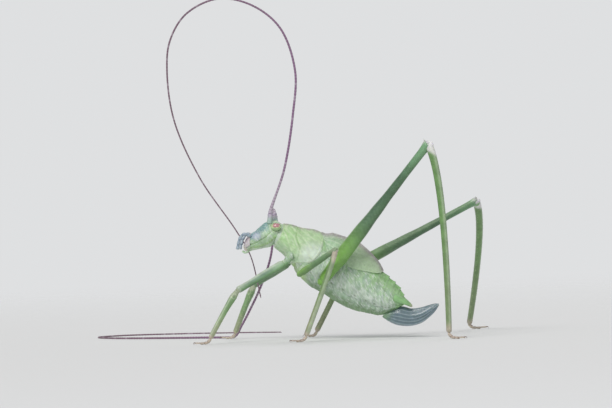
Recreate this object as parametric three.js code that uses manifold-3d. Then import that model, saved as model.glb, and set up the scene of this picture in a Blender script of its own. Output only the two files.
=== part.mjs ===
// Long-horned grasshopper: a young bush katydid, standing on a flat floor, life size.
//
// Frame: millimetres, +Z up, head towards -Y, the animal's left side towards +X.
// The body is modelled whole and parted by thin cuts. Each leg is a nest of groups, hip to foot.
// The whole model is moved at the end so that its origin is the middle of its footprint on the floor.

import * as THREE from 'three';
import { mergeVertices } from 'three/addons/utils/BufferGeometryUtils.js';
import Module from 'manifold-3d';

const wasm = await Module();
wasm.setup();

// ---------------------------------------------------------------- driving sizes

const GAP = 0.12;                  // clearance left between neighbouring sub-parts
const PAD_THICKNESS = 0.5;         // wing pads, as solids
const PRONOTUM_RISE = 0.12;        // how far the pronotum stands proud of the thorax
const ANTENNA_RADIUS = 0.26;       // feelers, as solids
const PALP_RADIUS = 0.24;
const EYE_RADII = [0.42, 0.62, 0.56];
const EYE_CENTRE = [1.12, -3.16, 12.1];
const FOOT_HEIGHT = 0.5;           // highest point of a foot over the floor
const SCAPE_THICKNESS = 0.62;      // the stout root joint of a feeler, at its foot
const SCAPE_TAPER = 0.08;
const CERCUS_SIZES = { depth: 0.95, width: 0.85, depthTaper: 0.5, widthTaper: 0.42 };
const BODY_SIDES = 18;
const BODY_RINGS = 25;
const HEAD_RINGS = 12;
const HEAD_SIDES = 16;
const BLADE_RINGS = 13;
const BLADE_SIDES = 12;
const THIGH_SIDES = 10;
const SHIN_SIDES = 8;
const SHIN_STEPS = 8;
const FEELER_SIDES = 8;
const CUTTER_HALF_WIDTH = 6;
const BOW_HEIGHT = 0.2;             // how far down a shin its bow is fullest, as a part of its length

// How egg-shaped a cross-section is: how far down it is fullest, and how square its shoulders are.
const TRUNK_SECTION = { fullest: 0.56, roundness: 0.72 };
const HEAD_SECTION = { fullest: 0.5, roundness: 0.7 };
const BLADE_SECTION = { fullest: 0.5, roundness: 0.8 };

// Cross-sections of the trunk from neck to tail. Each ring stands on its back point and its belly
// point in the plane of symmetry, and has a half width.
const TRUNK = [
  { back: [-2.60, 12.42], belly: [-3.55, 10.05], half: 1.05 },
  { back: [-1.55, 12.22], belly: [-2.55, 9.25], half: 1.35 },
  { back: [-0.40, 11.85], belly: [-1.75, 8.15], half: 1.55 },
  { back: [0.90, 11.62], belly: [-1.00, 6.90], half: 1.72 },
  { back: [2.20, 10.98], belly: [0.15, 5.75], half: 1.88 },
  { back: [3.60, 10.50], belly: [1.50, 4.95], half: 1.98 },
  { back: [5.00, 9.95], belly: [3.00, 3.95], half: 2.05 },
  { back: [6.40, 8.85], belly: [4.70, 3.10], half: 2.02 },
  { back: [7.65, 7.45], belly: [6.30, 2.70], half: 1.85 },
  { back: [8.80, 6.33], belly: [7.60, 2.45], half: 1.52 },
  { back: [9.70, 5.40], belly: [8.80, 2.85], half: 1.10 },
  { back: [10.20, 4.40], belly: [9.70, 3.25], half: 0.70 },
  { back: [10.50, 3.95], belly: [10.20, 3.50], half: 0.35 },
];

// Cross-sections of the head from the back of the cheeks to the mouth.
const HEAD = [
  { back: [-2.72, 12.45], belly: [-3.60, 10.20], half: 0.95 },
  { back: [-3.15, 12.78], belly: [-4.00, 9.98], half: 1.14 },
  { back: [-3.75, 12.80], belly: [-4.50, 9.90], half: 1.20 },
  { back: [-4.45, 12.60], belly: [-5.00, 9.80], half: 1.18 },
  { back: [-5.10, 12.10], belly: [-5.45, 9.72], half: 1.08 },
  { back: [-5.65, 11.68], belly: [-5.85, 9.65], half: 0.95 },
  { back: [-6.20, 11.30], belly: [-6.20, 9.55], half: 0.78 },
  { back: [-6.52, 10.80], belly: [-6.50, 9.55], half: 0.58 },
  { back: [-6.68, 10.40], belly: [-6.66, 9.85], half: 0.30 },
];

// Cross-sections of the egg-laying blade, from its root under the tail to its upturned tip.
const OVIPOSITOR = [
  { back: [8.15, 2.75], belly: [7.80, 2.25], half: 0.32 },
  { back: [9.05, 3.10], belly: [8.42, 1.80], half: 0.38 },
  { back: [9.95, 3.36], belly: [9.35, 1.36], half: 0.38 },
  { back: [10.95, 3.12], belly: [10.75, 1.22], half: 0.34 },
  { back: [11.90, 3.20], belly: [11.95, 1.50], half: 0.31 },
  { back: [12.75, 3.42], belly: [12.95, 2.20], half: 0.28 },
  { back: [13.45, 3.55], belly: [13.55, 2.85], half: 0.26 },
  { back: [13.85, 3.56], belly: [13.90, 3.36], half: 0.20 },
];

// Side outlines, as (y, z) corners, that part the whole body into its named pieces.
const PRONOTUM_OUTLINE = [
  [-2.50, 13.30], [-2.48, 12.00], [-2.70, 11.20], [-3.50, 10.05], [-3.90, 9.70], [-3.00, 9.00],
  [-1.90, 8.45], [-0.90, 8.25], [0.50, 8.30], [1.40, 9.10], [1.80, 10.20], [1.65, 12.60],
];
const WING_PAD_OUTLINE = [
  [1.55, 12.60], [1.98, 10.30], [2.30, 9.40], [3.40, 8.35], [4.85, 7.57], [6.30, 7.20],
  [7.60, 6.95], [8.05, 7.14], [7.95, 7.80], [7.52, 8.52], [6.90, 9.30], [6.30, 9.95], [4.20, 12.20],
];
const THORAX_TO_ABDOMEN = [[3.55, 11.60], [1.26, 0.00]];
const ABDOMEN_TO_TIP = [[10.10, 9.00], [7.90, 0.00]];
const FACE_TO_MOUTH = [[-6.25, 13.0], [-5.95, 9.0]];

// Feelers: the left one climbs, bends over in a tall loop and hangs down past the face, and the
// right one bends down behind the head and lies on the floor in a loop of the same kind.
const LEFT_FEELER_ROUTE = [
  [0.60, -3.72, 13.95], [0.60, -2.20, 18.15], [0.60, -1.10, 24.00], [0.57, -0.75, 28.70],
  [0.47, -2.24, 33.25], [0.38, -5.20, 35.75], [0.30, -8.80, 36.55], [0.20, -12.30, 35.00],
  [0.00, -14.10, 32.20], [-0.33, -14.53, 29.10], [-0.60, -13.96, 23.80], [-1.00, -11.40, 17.55],
  [-1.60, -7.70, 11.80], [-2.20, -6.30, 9.10], [-3.00, -5.36, 4.50],
];
const RIGHT_FEELER_ROUTE = [
  [-1.02, -3.50, 13.60], [-2.20, -3.72, 13.90], [-3.40, -3.85, 12.70], [-4.20, -4.02, 10.80],
  [-4.90, -4.45, 8.60], [-7.30, -6.10, 4.90], [-9.40, -8.10, 1.60], [-10.70, -9.20, ANTENNA_RADIUS],
];
const RIGHT_FEELER_ON_FLOOR = [
  [-10.70, -9.20], [-12.40, -12.40], [-14.60, -18.00], [-18.00, -23.20], [-22.80, -25.40],
  [-27.20, -23.20], [-28.90, -18.00], [-28.40, -11.00], [-26.60, -5.40],
];

// Legs: hip, knee and ankle in the body's frame, and the heading of the foot on the floor.
const LEGS = {
  fore_left: {
    hip: [1.95, -2.10, 8.35], knee: [5.00, -6.97, 5.62], ankle: [7.50, -9.84, 0.60], toe: [0.25, -1],
  },
  fore_right: {
    hip: [-1.95, -2.10, 8.35], knee: [-6.00, -6.27, 5.90], ankle: [-8.40, -8.80, 0.60], toe: [-0.35, -1],
  },
  mid_left: {
    hip: [2.30, -0.76, 7.05], knee: [6.00, 3.55, 9.65], ankle: [6.60, 0.20, 0.60], toe: [0.55, -1],
  },
  mid_right: {
    hip: [-2.30, -0.50, 7.05], knee: [-5.70, 4.00, 8.20], ankle: [-8.70, 0.00, 0.60], toe: [-0.80, -1],
  },
  hind_left: {
    hip: [2.70, 1.55, 6.05], knee: [4.64, 13.50, 20.52], ankle: [7.40, 15.35, 0.60], toe: [0.75, 1],
  },
  hind_right: {
    hip: [-2.70, 1.75, 6.10], knee: [-8.60, 17.60, 14.24], ankle: [-23.0, 15.70, 0.60], toe: [-0.60, 1],
  },
};

// Where each coxa leaves the body, above and inside its hip.
const COXA_ROOTS = {
  fore: [1.10, -1.55, 9.20],
  mid: [1.20, 0.15, 8.20],
  hind: [1.35, 2.10, 7.10],
};

// Depth and width of each leg segment along its length: fraction of length, depth, width.
const LEG_SHAPES = {
  fore: {
    coxa: [[0, 1.00], [1, 0.78]],
    femur: [
      [0, 0.72, 0.66], [0.12, 0.98, 0.78], [0.4, 0.92, 0.74], [0.8, 0.70, 0.62], [1, 0.74, 0.62],
    ],
    tibia: [[0, 0.60, 0.58], [0.12, 0.60, 0.58], [0.30, 0.76, 0.72], [0.60, 0.60, 0.58], [1, 0.54, 0.52]],
    bow: 0.12,
    foot: 1.75,
  },
  mid: {
    coxa: [[0, 1.10], [1, 0.80]],
    femur: [
      [0, 0.66, 0.60], [0.15, 0.76, 0.66], [0.5, 0.66, 0.60], [0.85, 0.56, 0.52], [1, 0.58, 0.54],
    ],
    tibia: [[0, 0.56, 0.54], [1, 0.54, 0.52]],
    bow: 0.15,
    foot: 1.85,
  },
  hind: {
    coxa: [[0, 1.30], [1, 1.00]],
    femur: [
      [0, 0.90, 0.72], [0.06, 1.26, 0.94], [0.2, 1.62, 1.16], [0.36, 1.48, 1.10],
      [0.5, 1.18, 0.96], [0.65, 0.92, 0.80], [0.8, 0.82, 0.68], [0.93, 0.84, 0.66], [1, 1.00, 0.68],
    ],
    tibia: [
      [0, 0.80, 0.62], [0.06, 0.86, 0.64], [0.3, 0.78, 0.62], [0.7, 0.68, 0.58], [1, 0.60, 0.56],
    ],
    bow: 0.70,
    foot: 2.3,
  },
};

// Stations along a foot, as parts of its length before the ankle: place, width and height. The heel
// is a distance behind the ankle instead.
const FOOT_OUTLINE = [
  [-0.30, 0.30, 0.44], [0.0, 0.50, FOOT_HEIGHT], [0.35, 0.52, 0.44], [0.7, 0.62, 0.42], [1.0, 0.40, 0.36],
];

// ---------------------------------------------------------------- colours

const finish = (color, roughness) => new THREE.MeshStandardMaterial({ color, roughness, metalness: 0 });
const MATERIALS = {
  face: finish(0xa4cdbd, 0.45),
  mouth: finish(0xc9ccd2, 0.5),
  eye: finish(0xd9a3a4, 0.25),
  palp: finish(0x9fb6c9, 0.4),
  scape: finish(0xb9c7cf, 0.45),
  feeler: finish(0x7d6178, 0.5),
  pronotum: finish(0xb2d4a0, 0.45),
  thorax: finish(0xc1d8c2, 0.45),
  pad: finish(0xacc8a4, 0.45),
  abdomen: finish(0xa6c8a0, 0.45),
  cercus: finish(0x8cb577, 0.45),
  ovipositor: finish(0x76858c, 0.35),
  femur: finish(0x7ba36c, 0.4),
  tibia: finish(0x8dab77, 0.4),
  foot: finish(0xb7a396, 0.5),
};

// ---------------------------------------------------------------- shape making

const vec = (a) => new THREE.Vector3(a[0], a[1], a[2]);

// A closed solid through rings of equal length, its ends closed by fans.
function closedLoft(rings) {
  const count = rings[0].length;
  const positions = [];
  const faces = [];
  for (const ring of rings) {
    for (const p of ring) {
      positions.push(p.x, p.y, p.z);
    }
  }
  for (let i = 0; i + 1 < rings.length; i += 1) {
    for (let j = 0; j < count; j += 1) {
      const a = i * count + j;
      const b = i * count + ((j + 1) % count);
      faces.push(a, b, b + count, a, b + count, a + count);
    }
  }
  const last = (rings.length - 1) * count;
  for (let j = 1; j + 1 < count; j += 1) {
    faces.push(0, j + 1, j);
    faces.push(last, last + j, last + j + 1);
  }
  const geometry = new THREE.BufferGeometry();
  geometry.setAttribute('position', new THREE.Float32BufferAttribute(positions, 3));
  geometry.setIndex(faces);
  return facingOut(geometry);
}

// Turns a closed geometry's faces outwards, by the sign of its volume.
function facingOut(geometry) {
  const p = geometry.attributes.position;
  const index = geometry.index.array;
  const corners = [new THREE.Vector3(), new THREE.Vector3(), new THREE.Vector3()];
  let volume = 0;
  for (let i = 0; i < index.length; i += 3) {
    corners.forEach((c, k) => c.fromBufferAttribute(p, index[i + k]));
    volume += corners[0].dot(corners[1].clone().cross(corners[2]));
  }
  if (volume < 0) {
    for (let i = 0; i < index.length; i += 3) {
      [index[i], index[i + 1]] = [index[i + 1], index[i]];
    }
  }
  return geometry;
}

// Value of a table of [position, value, ...] rows at one position, with column k smoothly joined.
function along(rows, t, k) {
  const last = rows.length - 1;
  if (t <= rows[0][0]) return rows[0][k];
  if (t >= rows[last][0]) return rows[last][k];
  const i = rows.findIndex((row) => row[0] > t) - 1;
  const f = (t - rows[i][0]) / (rows[i + 1][0] - rows[i][0]);
  const eased = f * f * (3 - 2 * f);
  return rows[i][k] + (rows[i + 1][k] - rows[i][k]) * eased;
}

// Smoothed copies of a table of body sections.
function sectionsAlong(table, rings) {
  const line = (pick) => new THREE.CatmullRomCurve3(table.map(pick), false, 'centripetal');
  const backs = line((s) => new THREE.Vector3(s.half, s.back[0], s.back[1]));
  const bellies = line((s) => new THREE.Vector3(s.half, s.belly[0], s.belly[1]));
  const sections = [];
  for (let i = 0; i < rings; i += 1) {
    const t = i / (rings - 1);
    sections.push({ back: backs.getPoint(t), belly: bellies.getPoint(t) });
  }
  return sections;
}

// A body lofted over sections: egg-shaped rings, fullest a little below the middle.
function bodyOver(table, { fullest, roundness }, rings, sides, grow = 0) {
  const power = Math.log(0.5) / Math.log(fullest);
  return closedLoft(sectionsAlong(table, rings).map(({ back, belly }) => {
    const half = (back.x + belly.x) / 2 + grow;
    const across = new THREE.Vector3(0, back.y - belly.y, back.z - belly.z);
    const lift = across.clone().normalize().multiplyScalar(grow);
    const top = new THREE.Vector3(0, back.y, back.z).add(lift);
    const bottom = new THREE.Vector3(0, belly.y, belly.z).sub(lift);
    const ring = [];
    for (let j = 0; j < sides; j += 1) {
      const angle = (2 * Math.PI * (j + 0.5)) / sides;
      const down = (1 - Math.cos(angle)) / 2;
      const width = half * Math.sin(Math.PI * down ** power) ** roundness;
      const p = top.clone().lerp(bottom, down);
      p.x = Math.sign(Math.sin(angle)) * width;
      ring.push(p);
    }
    return ring;
  }));
}

// A tapered round or oval rod along a curve. sizeAt gives depth and width as full sizes, and
// depth lies towards the reference direction.
function rod(curve, sizeAt, steps, sides, reference) {
  const rings = [];
  for (let i = 0; i <= steps; i += 1) {
    const t = i / steps;
    const centre = curve.getPointAt(t);
    const tangent = curve.getTangentAt(t);
    const deep = reference.clone().addScaledVector(tangent, -reference.dot(tangent)).normalize();
    const wide = tangent.clone().cross(deep);
    const [depth, width] = sizeAt(t);
    const ring = [];
    for (let j = 0; j < sides; j += 1) {
      const angle = (2 * Math.PI * (j + 0.5)) / sides;
      const reach = 0.5 / Math.cos(Math.PI / sides);
      ring.push(centre.clone()
        .addScaledVector(deep, depth * reach * Math.cos(angle))
        .addScaledVector(wide, width * reach * Math.sin(angle)));
    }
    rings.push(ring);
  }
  return closedLoft(rings);
}

// A stretch of a curve between two of its fractions.
class Stretch extends THREE.Curve {
  constructor(curve, from, to) {
    super();
    this.whole = curve;
    this.from = from;
    this.to = to;
  }

  getPoint(t) {
    return this.whole.getPointAt(this.from + (this.to - this.from) * t);
  }
}

// ---------------------------------------------------------------- cutting

function toManifold(geometry) {
  const bare = geometry.clone();
  bare.deleteAttribute('normal');
  bare.deleteAttribute('uv');
  const merged = mergeVertices(bare);
  return new wasm.Manifold(new wasm.Mesh({
    numProp: 3,
    vertProperties: new Float32Array(merged.attributes.position.array),
    triVerts: new Uint32Array(merged.index.array),
  }));
}

function toGeometry(manifold) {
  const mesh = manifold.getMesh();
  const geometry = new THREE.BufferGeometry();
  geometry.setAttribute('position', new THREE.Float32BufferAttribute(mesh.vertProperties, 3));
  geometry.setIndex(Array.from(mesh.triVerts));
  return geometry;
}

// A prism across the body from a side outline of (y, z) corners.
function prism(outline, near = -CUTTER_HALF_WIDTH, far = CUTTER_HALF_WIDTH) {
  const shape = new THREE.Shape(outline.map(([y, z]) => new THREE.Vector2(y, z)));
  const block = new THREE.ExtrudeGeometry(shape, { depth: far - near, bevelEnabled: false });
  const axes = new THREE.Matrix4().makeBasis(
    new THREE.Vector3(0, 1, 0), new THREE.Vector3(0, 0, 1), new THREE.Vector3(1, 0, 0));
  block.applyMatrix4(axes);
  block.translate(near, 0, 0);
  return toManifold(block);
}

// The same outline pushed out from its middle.
function widened(outline, by) {
  const middle = outline.reduce(
    (m, [y, z]) => [m[0] + y / outline.length, m[1] + z / outline.length], [0, 0]);
  return outline.map(([y, z]) => {
    const reach = Math.hypot(y - middle[0], z - middle[1]);
    return [y + ((y - middle[0]) / reach) * by, z + ((z - middle[1]) / reach) * by];
  });
}

// A thin upright slab along a cut line, and the side outline of all that lies behind the line.
function slabAlong([top, bottom]) {
  const half = GAP / 2;
  return prism([
    [top[0] - half, top[1]], [bottom[0] - half, bottom[1]],
    [bottom[0] + half, bottom[1]], [top[0] + half, top[1]],
  ]);
}

function behind([top, bottom]) {
  const reach = 20;
  return prism([top, bottom, [reach, bottom[1]], [reach, top[1]]]);
}

// ---------------------------------------------------------------- building

const animal = new THREE.Group();

function add(parent, name, geometry, material) {
  const mesh = new THREE.Mesh(geometry, material.clone());
  mesh.name = name;
  parent.add(mesh);
  return mesh;
}

function trunk(grow) {
  return toManifold(bodyOver(TRUNK, TRUNK_SECTION, BODY_RINGS, BODY_SIDES, grow));
}

function buildTrunk() {
  const pronotumBlock = prism(PRONOTUM_OUTLINE);
  add(animal, 'pronotum', toGeometry(trunk(PRONOTUM_RISE).intersect(pronotumBlock)), MATERIALS.pronotum);

  const rest = trunk(0).subtract(prism(widened(PRONOTUM_OUTLINE, GAP * 1.3)));
  const afterThorax = behind(THORAX_TO_ABDOMEN);
  const afterAbdomen = behind(ABDOMEN_TO_TIP);
  const thorax = rest.subtract(afterThorax).subtract(slabAlong(THORAX_TO_ABDOMEN));
  const abdomen = rest.intersect(afterThorax).subtract(afterAbdomen)
    .subtract(slabAlong(THORAX_TO_ABDOMEN)).subtract(slabAlong(ABDOMEN_TO_TIP));
  const tip = rest.intersect(afterAbdomen).subtract(slabAlong(ABDOMEN_TO_TIP));
  add(animal, 'thorax', toGeometry(largestOf(thorax)), MATERIALS.thorax);
  add(animal, 'abdomen', toGeometry(largestOf(abdomen)), MATERIALS.abdomen);
  add(animal, 'abdomen_tip', toGeometry(largestOf(tip)), MATERIALS.abdomen);
}

// A cut may leave crumbs beside the piece that is meant.
function largestOf(manifold) {
  const pieces = manifold.decompose();
  return pieces.reduce((best, piece) => (piece.volume() > best.volume() ? piece : best));
}

function buildWingPads() {
  const shell = trunk(GAP + PAD_THICKNESS).subtract(trunk(GAP));
  const middleGap = GAP / 2;
  const left = shell.intersect(prism(WING_PAD_OUTLINE, middleGap, CUTTER_HALF_WIDTH));
  const right = shell.intersect(prism(WING_PAD_OUTLINE, -CUTTER_HALF_WIDTH, -middleGap));
  add(animal, 'wing_pad_left', toGeometry(largestOf(left)), MATERIALS.pad);
  add(animal, 'wing_pad_right', toGeometry(largestOf(right)), MATERIALS.pad);
}

function eyeball(side, grow) {
  const ball = new THREE.SphereGeometry(1, 12, 8);
  ball.scale(...EYE_RADII.map((r) => r + grow));
  ball.translate(side * EYE_CENTRE[0], EYE_CENTRE[1], EYE_CENTRE[2]);
  return toManifold(ball);
}

function headSolid(grow) {
  return toManifold(bodyOver(HEAD, HEAD_SECTION, HEAD_RINGS, HEAD_SIDES, grow));
}

function buildHead() {
  const whole = headSolid(0).subtract(trunk(PRONOTUM_RISE + GAP));
  const cheeks = behind(FACE_TO_MOUTH);
  const skull = whole.intersect(cheeks).subtract(slabAlong(FACE_TO_MOUTH))
    .subtract(eyeball(1, GAP)).subtract(eyeball(-1, GAP));
  const mouth = whole.subtract(cheeks).subtract(slabAlong(FACE_TO_MOUTH));
  add(animal, 'head', toGeometry(largestOf(skull)), MATERIALS.face);
  add(animal, 'mouthparts', toGeometry(largestOf(mouth)), MATERIALS.mouth);
  const clearOfBody = trunk(PRONOTUM_RISE + GAP);
  add(animal, 'eye_left', toGeometry(largestOf(eyeball(1, 0).subtract(clearOfBody))), MATERIALS.eye);
  add(animal, 'eye_right', toGeometry(largestOf(eyeball(-1, 0).subtract(clearOfBody))), MATERIALS.eye);
}

function buildPalp(name, side, lag) {
  const route = new THREE.CatmullRomCurve3([
    [side * 0.62, -6.00, 11.30], [side * 0.92, -6.55 + lag, 11.45], [side * 0.86, -6.98 + lag, 11.15],
    [side * 0.66, -7.25 + lag, 10.50], [side * 0.50, -7.42 + lag, 9.80],
  ].map(vec));
  const thickness = (t) => PALP_RADIUS * 2 * (1 - 0.1 * t);
  const body = rod(route, (t) => [thickness(t), thickness(t)], 9, FEELER_SIDES, new THREE.Vector3(1, 0, 0));
  add(animal, name, toGeometry(largestOf(toManifold(body).subtract(headSolid(GAP)))), MATERIALS.palp);
}

function buildScape(name, root, tip) {
  const line = new THREE.LineCurve3(vec(root), vec(tip));
  const thickness = (t) => SCAPE_THICKNESS - SCAPE_TAPER * t;
  const stem = rod(line, (t) => [thickness(t), thickness(t)], 3, FEELER_SIDES, new THREE.Vector3(1, 0, 0));
  const cut = toManifold(stem).subtract(headSolid(GAP)).subtract(trunk(PRONOTUM_RISE + GAP));
  add(animal, name, toGeometry(largestOf(cut)), MATERIALS.scape);
}

// A feeler parted into lengths, with a small gap between each and the next.
function buildFeeler(name, route, lengths, stepsEach, reference, firstNumber = 1) {
  const whole = route.getLength();
  const skip = GAP / 2 / whole;
  for (let i = 0; i < lengths; i += 1) {
    const stretch = new Stretch(route, i / lengths + skip, (i + 1) / lengths - skip);
    const round = () => [ANTENNA_RADIUS * 2, ANTENNA_RADIUS * 2];
    const length = rod(stretch, round, stepsEach, FEELER_SIDES, reference);
    add(animal, `${name}_${firstNumber + i}`, length, MATERIALS.feeler);
  }
}

function buildFeelers() {
  const smooth = (points) => new THREE.CatmullRomCurve3(points.map(vec), false, 'centripetal');
  buildScape('antenna_left_scape', [0.52, -3.88, 12.55], [0.60, -3.76, 13.82]);
  buildScape('antenna_right_scape', [-0.42, -3.35, 12.50], [-0.92, -3.46, 13.52]);
  const left = smooth(LEFT_FEELER_ROUTE);
  buildFeeler('antenna_left', left, 7, 7, new THREE.Vector3(1, 0, 0));
  const right = smooth(RIGHT_FEELER_ROUTE);
  buildFeeler('antenna_right', right, 2, 9, new THREE.Vector3(0, 1, 0));
  const lying = smooth(RIGHT_FEELER_ON_FLOOR.map(([x, y]) => [x, y, ANTENNA_RADIUS]));
  buildFeeler('antenna_right', new Stretch(lying, 0.01, 1), 4, 7, new THREE.Vector3(0, 0, 1), 3);
}

function buildTail() {
  const bodySolid = trunk(GAP);
  for (const [side, word] of [[1, 'left'], [-1, 'right']]) {
    const line = new THREE.QuadraticBezierCurve3(
      vec([side * 0.85, 9.20, 4.25]), vec([side * 0.95, 10.30, 3.95]), vec([side * 0.42, 11.02, 3.28]));
    const { depth, width, depthTaper, widthTaper } = CERCUS_SIZES;
    const sizeAt = (t) => [depth - depthTaper * t, width - widthTaper * t];
    const cone = rod(line, sizeAt, 6, FEELER_SIDES, new THREE.Vector3(1, 0, 0));
    const cut = toManifold(cone).subtract(bodySolid);
    add(animal, `cercus_${word}`, toGeometry(largestOf(cut)), MATERIALS.cercus);
  }
  const blade = toManifold(bodyOver(OVIPOSITOR, BLADE_SECTION, BLADE_RINGS, BLADE_SIDES));
  add(animal, 'ovipositor', toGeometry(largestOf(blade.subtract(bodySolid))), MATERIALS.ovipositor);
}

// ---------------------------------------------------------------- legs

// A group at a point, with its own +Z along a direction and +Y towards a reference.
function jointGroup(origin, direction, reference) {
  const z = direction.clone().normalize();
  const y = reference.clone().addScaledVector(z, -reference.dot(z)).normalize();
  const x = y.clone().cross(z);
  const group = new THREE.Group();
  group.quaternion.setFromRotationMatrix(new THREE.Matrix4().makeBasis(x, y, z));
  group.position.copy(origin);
  return group;
}

// A leg segment along local +Z between two heights, its depth along +Y, bowed towards +Y.
function segment(from, to, shape, bow, steps, sides) {
  const handle = new THREE.Vector3(0, bow * 2, from + (to - from) * BOW_HEIGHT);
  const arch = new THREE.QuadraticBezierCurve3(
    new THREE.Vector3(0, 0, from), handle, new THREE.Vector3(0, 0, to));
  const sizeAt = (t) => [along(shape, t, 1), along(shape, t, 2)];
  return rod(arch, sizeAt, steps, sides, new THREE.Vector3(0, 1, 0));
}

// A foot: a low wedge with a flat sole, narrow at the heel and the claws.
function foot(length) {
  const rings = [];
  for (const [at, width, height] of FOOT_OUTLINE) {
    const y = at < 0 ? at : at * length;
    rings.push([
      [-width / 2, y, 0], [width / 2, y, 0], [width / 2, y, height * 0.6], [width * 0.28, y, height],
      [-width * 0.28, y, height], [-width / 2, y, height * 0.6],
    ].map(vec));
  }
  return closedLoft(rings);
}

// Cuts a shape that is in a group's own frame by a solid in the body's frame.
function cutInGroup(geometry, group, solid) {
  group.updateMatrixWorld(true);
  const placed = toManifold(geometry.clone().applyMatrix4(group.matrixWorld));
  const cut = toGeometry(largestOf(placed.subtract(solid)));
  return cut.applyMatrix4(group.matrixWorld.clone().invert());
}

// Everything from under the floor up to just above the feet, where a shin has to end.
function roomForFeet() {
  const depth = 10;
  const top = FOOT_HEIGHT + GAP;
  return wasm.Manifold.cube([100, 100, depth + top], true).translate([0, 0, (top - depth) / 2]);
}

function buildLeg(name, { hip, knee, ankle, toe }) {
  const [pair, word] = name.split('_');
  const side = word === 'left' ? 1 : -1;
  const shape = LEG_SHAPES[pair];
  const [hipAt, kneeAt, ankleAt] = [vec(hip), vec(knee), vec(ankle)];
  const thigh = kneeAt.clone().sub(hipAt);
  const shin = ankleAt.clone().sub(kneeAt);

  const hipGroup = jointGroup(hipAt, thigh, shin.clone().negate());
  const thighSteps = pair === 'hind' ? 12 : 8;
  const thighBody = segment(0.1, thigh.length(), shape.femur, 0, thighSteps, THIGH_SIDES);
  add(hipGroup, `${name}_femur`, thighBody, MATERIALS.femur);
  animal.add(hipGroup);
  hipGroup.updateMatrixWorld(true);
  const grown = shape.femur.map(([at, depth, width]) => [at, depth + 2 * GAP, width + 2 * GAP]);
  const room = segment(-0.1, thigh.length() + GAP, grown, 0, thighSteps, THIGH_SIDES);
  const roomForThigh = toManifold(room.applyMatrix4(hipGroup.matrixWorld));

  const root = COXA_ROOTS[pair];
  const coxaLine = new THREE.LineCurve3(vec([side * root[0], root[1], root[2]]), hipAt);
  const coxaSize = (t) => [along(shape.coxa, t, 1), along(shape.coxa, t, 1)];
  const coxaBody = toManifold(rod(coxaLine, coxaSize, 3, THIGH_SIDES, new THREE.Vector3(0, 1, 0)));
  const coxaCut = coxaBody.subtract(trunk(PRONOTUM_RISE + GAP)).subtract(roomForThigh);
  add(animal, `${name}_coxa`, toGeometry(largestOf(coxaCut)), MATERIALS.thorax);

  const kneeGroup = jointGroup(kneeAt, shin, thigh);
  const shinBody = segment(0.1, shin.length(), shape.tibia, shape.bow, SHIN_STEPS, SHIN_SIDES);
  const rooms = roomForThigh.add(roomForFeet());
  add(kneeGroup, `${name}_tibia`, cutInGroup(shinBody, kneeGroup, rooms), MATERIALS.tibia);
  animal.add(kneeGroup);

  const footMesh = add(animal, `${name}_tarsus`, foot(shape.foot), MATERIALS.foot);
  footMesh.position.set(ankle[0], ankle[1], 0);
  footMesh.rotation.z = Math.atan2(toe[1], toe[0]) - Math.PI / 2;
}

buildTrunk();
buildWingPads();
buildHead();
buildPalp('palp_left', 1, 0);
buildPalp('palp_right', -1, 0.2);
buildFeelers();
buildTail();
Object.entries(LEGS).forEach(([name, leg]) => buildLeg(name, leg));

// The origin goes to the middle of the footprint, on the floor.
const model = new THREE.Group();
model.add(animal);
model.updateMatrixWorld(true);
const bounds = new THREE.Box3().setFromObject(model, true);
const middle = bounds.getCenter(new THREE.Vector3());
animal.position.set(-middle.x, -middle.y, -bounds.min.z);

export default model;
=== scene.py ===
"""A life-size long-horned grasshopper, a young bush katydid, standing on a pale floor.

Shapes are worked out in millimetres in the animal's own frame, with its head towards -Y, its left
side towards +X and the floor at z = 0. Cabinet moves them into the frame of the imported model.
"""

from __future__ import annotations

import logging
import math
from collections.abc import Sequence
from dataclasses import dataclass, field
from enum import Enum
from functools import cached_property

import bpy
import numpy as np
from mathutils import Matrix, Vector
from mathutils.kdtree import KDTree


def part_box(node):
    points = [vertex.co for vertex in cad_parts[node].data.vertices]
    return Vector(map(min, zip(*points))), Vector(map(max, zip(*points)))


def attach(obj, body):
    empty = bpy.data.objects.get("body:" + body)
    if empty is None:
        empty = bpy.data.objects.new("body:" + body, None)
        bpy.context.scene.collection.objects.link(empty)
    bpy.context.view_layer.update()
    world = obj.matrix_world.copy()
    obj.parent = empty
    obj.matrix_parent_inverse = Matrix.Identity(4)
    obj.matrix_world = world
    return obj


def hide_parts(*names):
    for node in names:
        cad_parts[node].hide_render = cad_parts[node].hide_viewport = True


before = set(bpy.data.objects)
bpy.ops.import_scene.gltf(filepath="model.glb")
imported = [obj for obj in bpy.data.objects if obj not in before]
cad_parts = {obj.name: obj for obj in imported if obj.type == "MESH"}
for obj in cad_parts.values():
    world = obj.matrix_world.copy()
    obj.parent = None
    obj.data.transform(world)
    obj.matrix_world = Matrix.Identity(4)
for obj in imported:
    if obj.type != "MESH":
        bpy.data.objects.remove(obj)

log = logging.getLogger("grasshopper")

MM = 0.001
Array = np.ndarray
Colour = tuple[float, float, float]
Point = tuple[float, float, float]
Line = tuple[tuple[float, float], ...]
Socket = bpy.types.NodeSocket


# ---------------------------------------------------------------- small mathematics


def smooth(low: float, high: float, x: Array | float) -> Array:
    """A soft step from 0 at low to 1 at high, which may lie below low for a falling step."""
    t = np.clip((np.asarray(x, float) - low) / (high - low), 0.0, 1.0)
    return t * t * (3.0 - 2.0 * t)


def bell(x: Array | float, width: float) -> Array:
    """A bell curve of height 1 and the given half width, at x."""
    return np.exp(-((np.asarray(x, float) / width) ** 2))


def blend(first: Array, second: Array | Colour, share: Array) -> Array:
    """Mixes two sets of colours or points by a share for each row."""
    return first + (np.asarray(second, float) - first) * np.asarray(share)[..., None]


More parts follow.
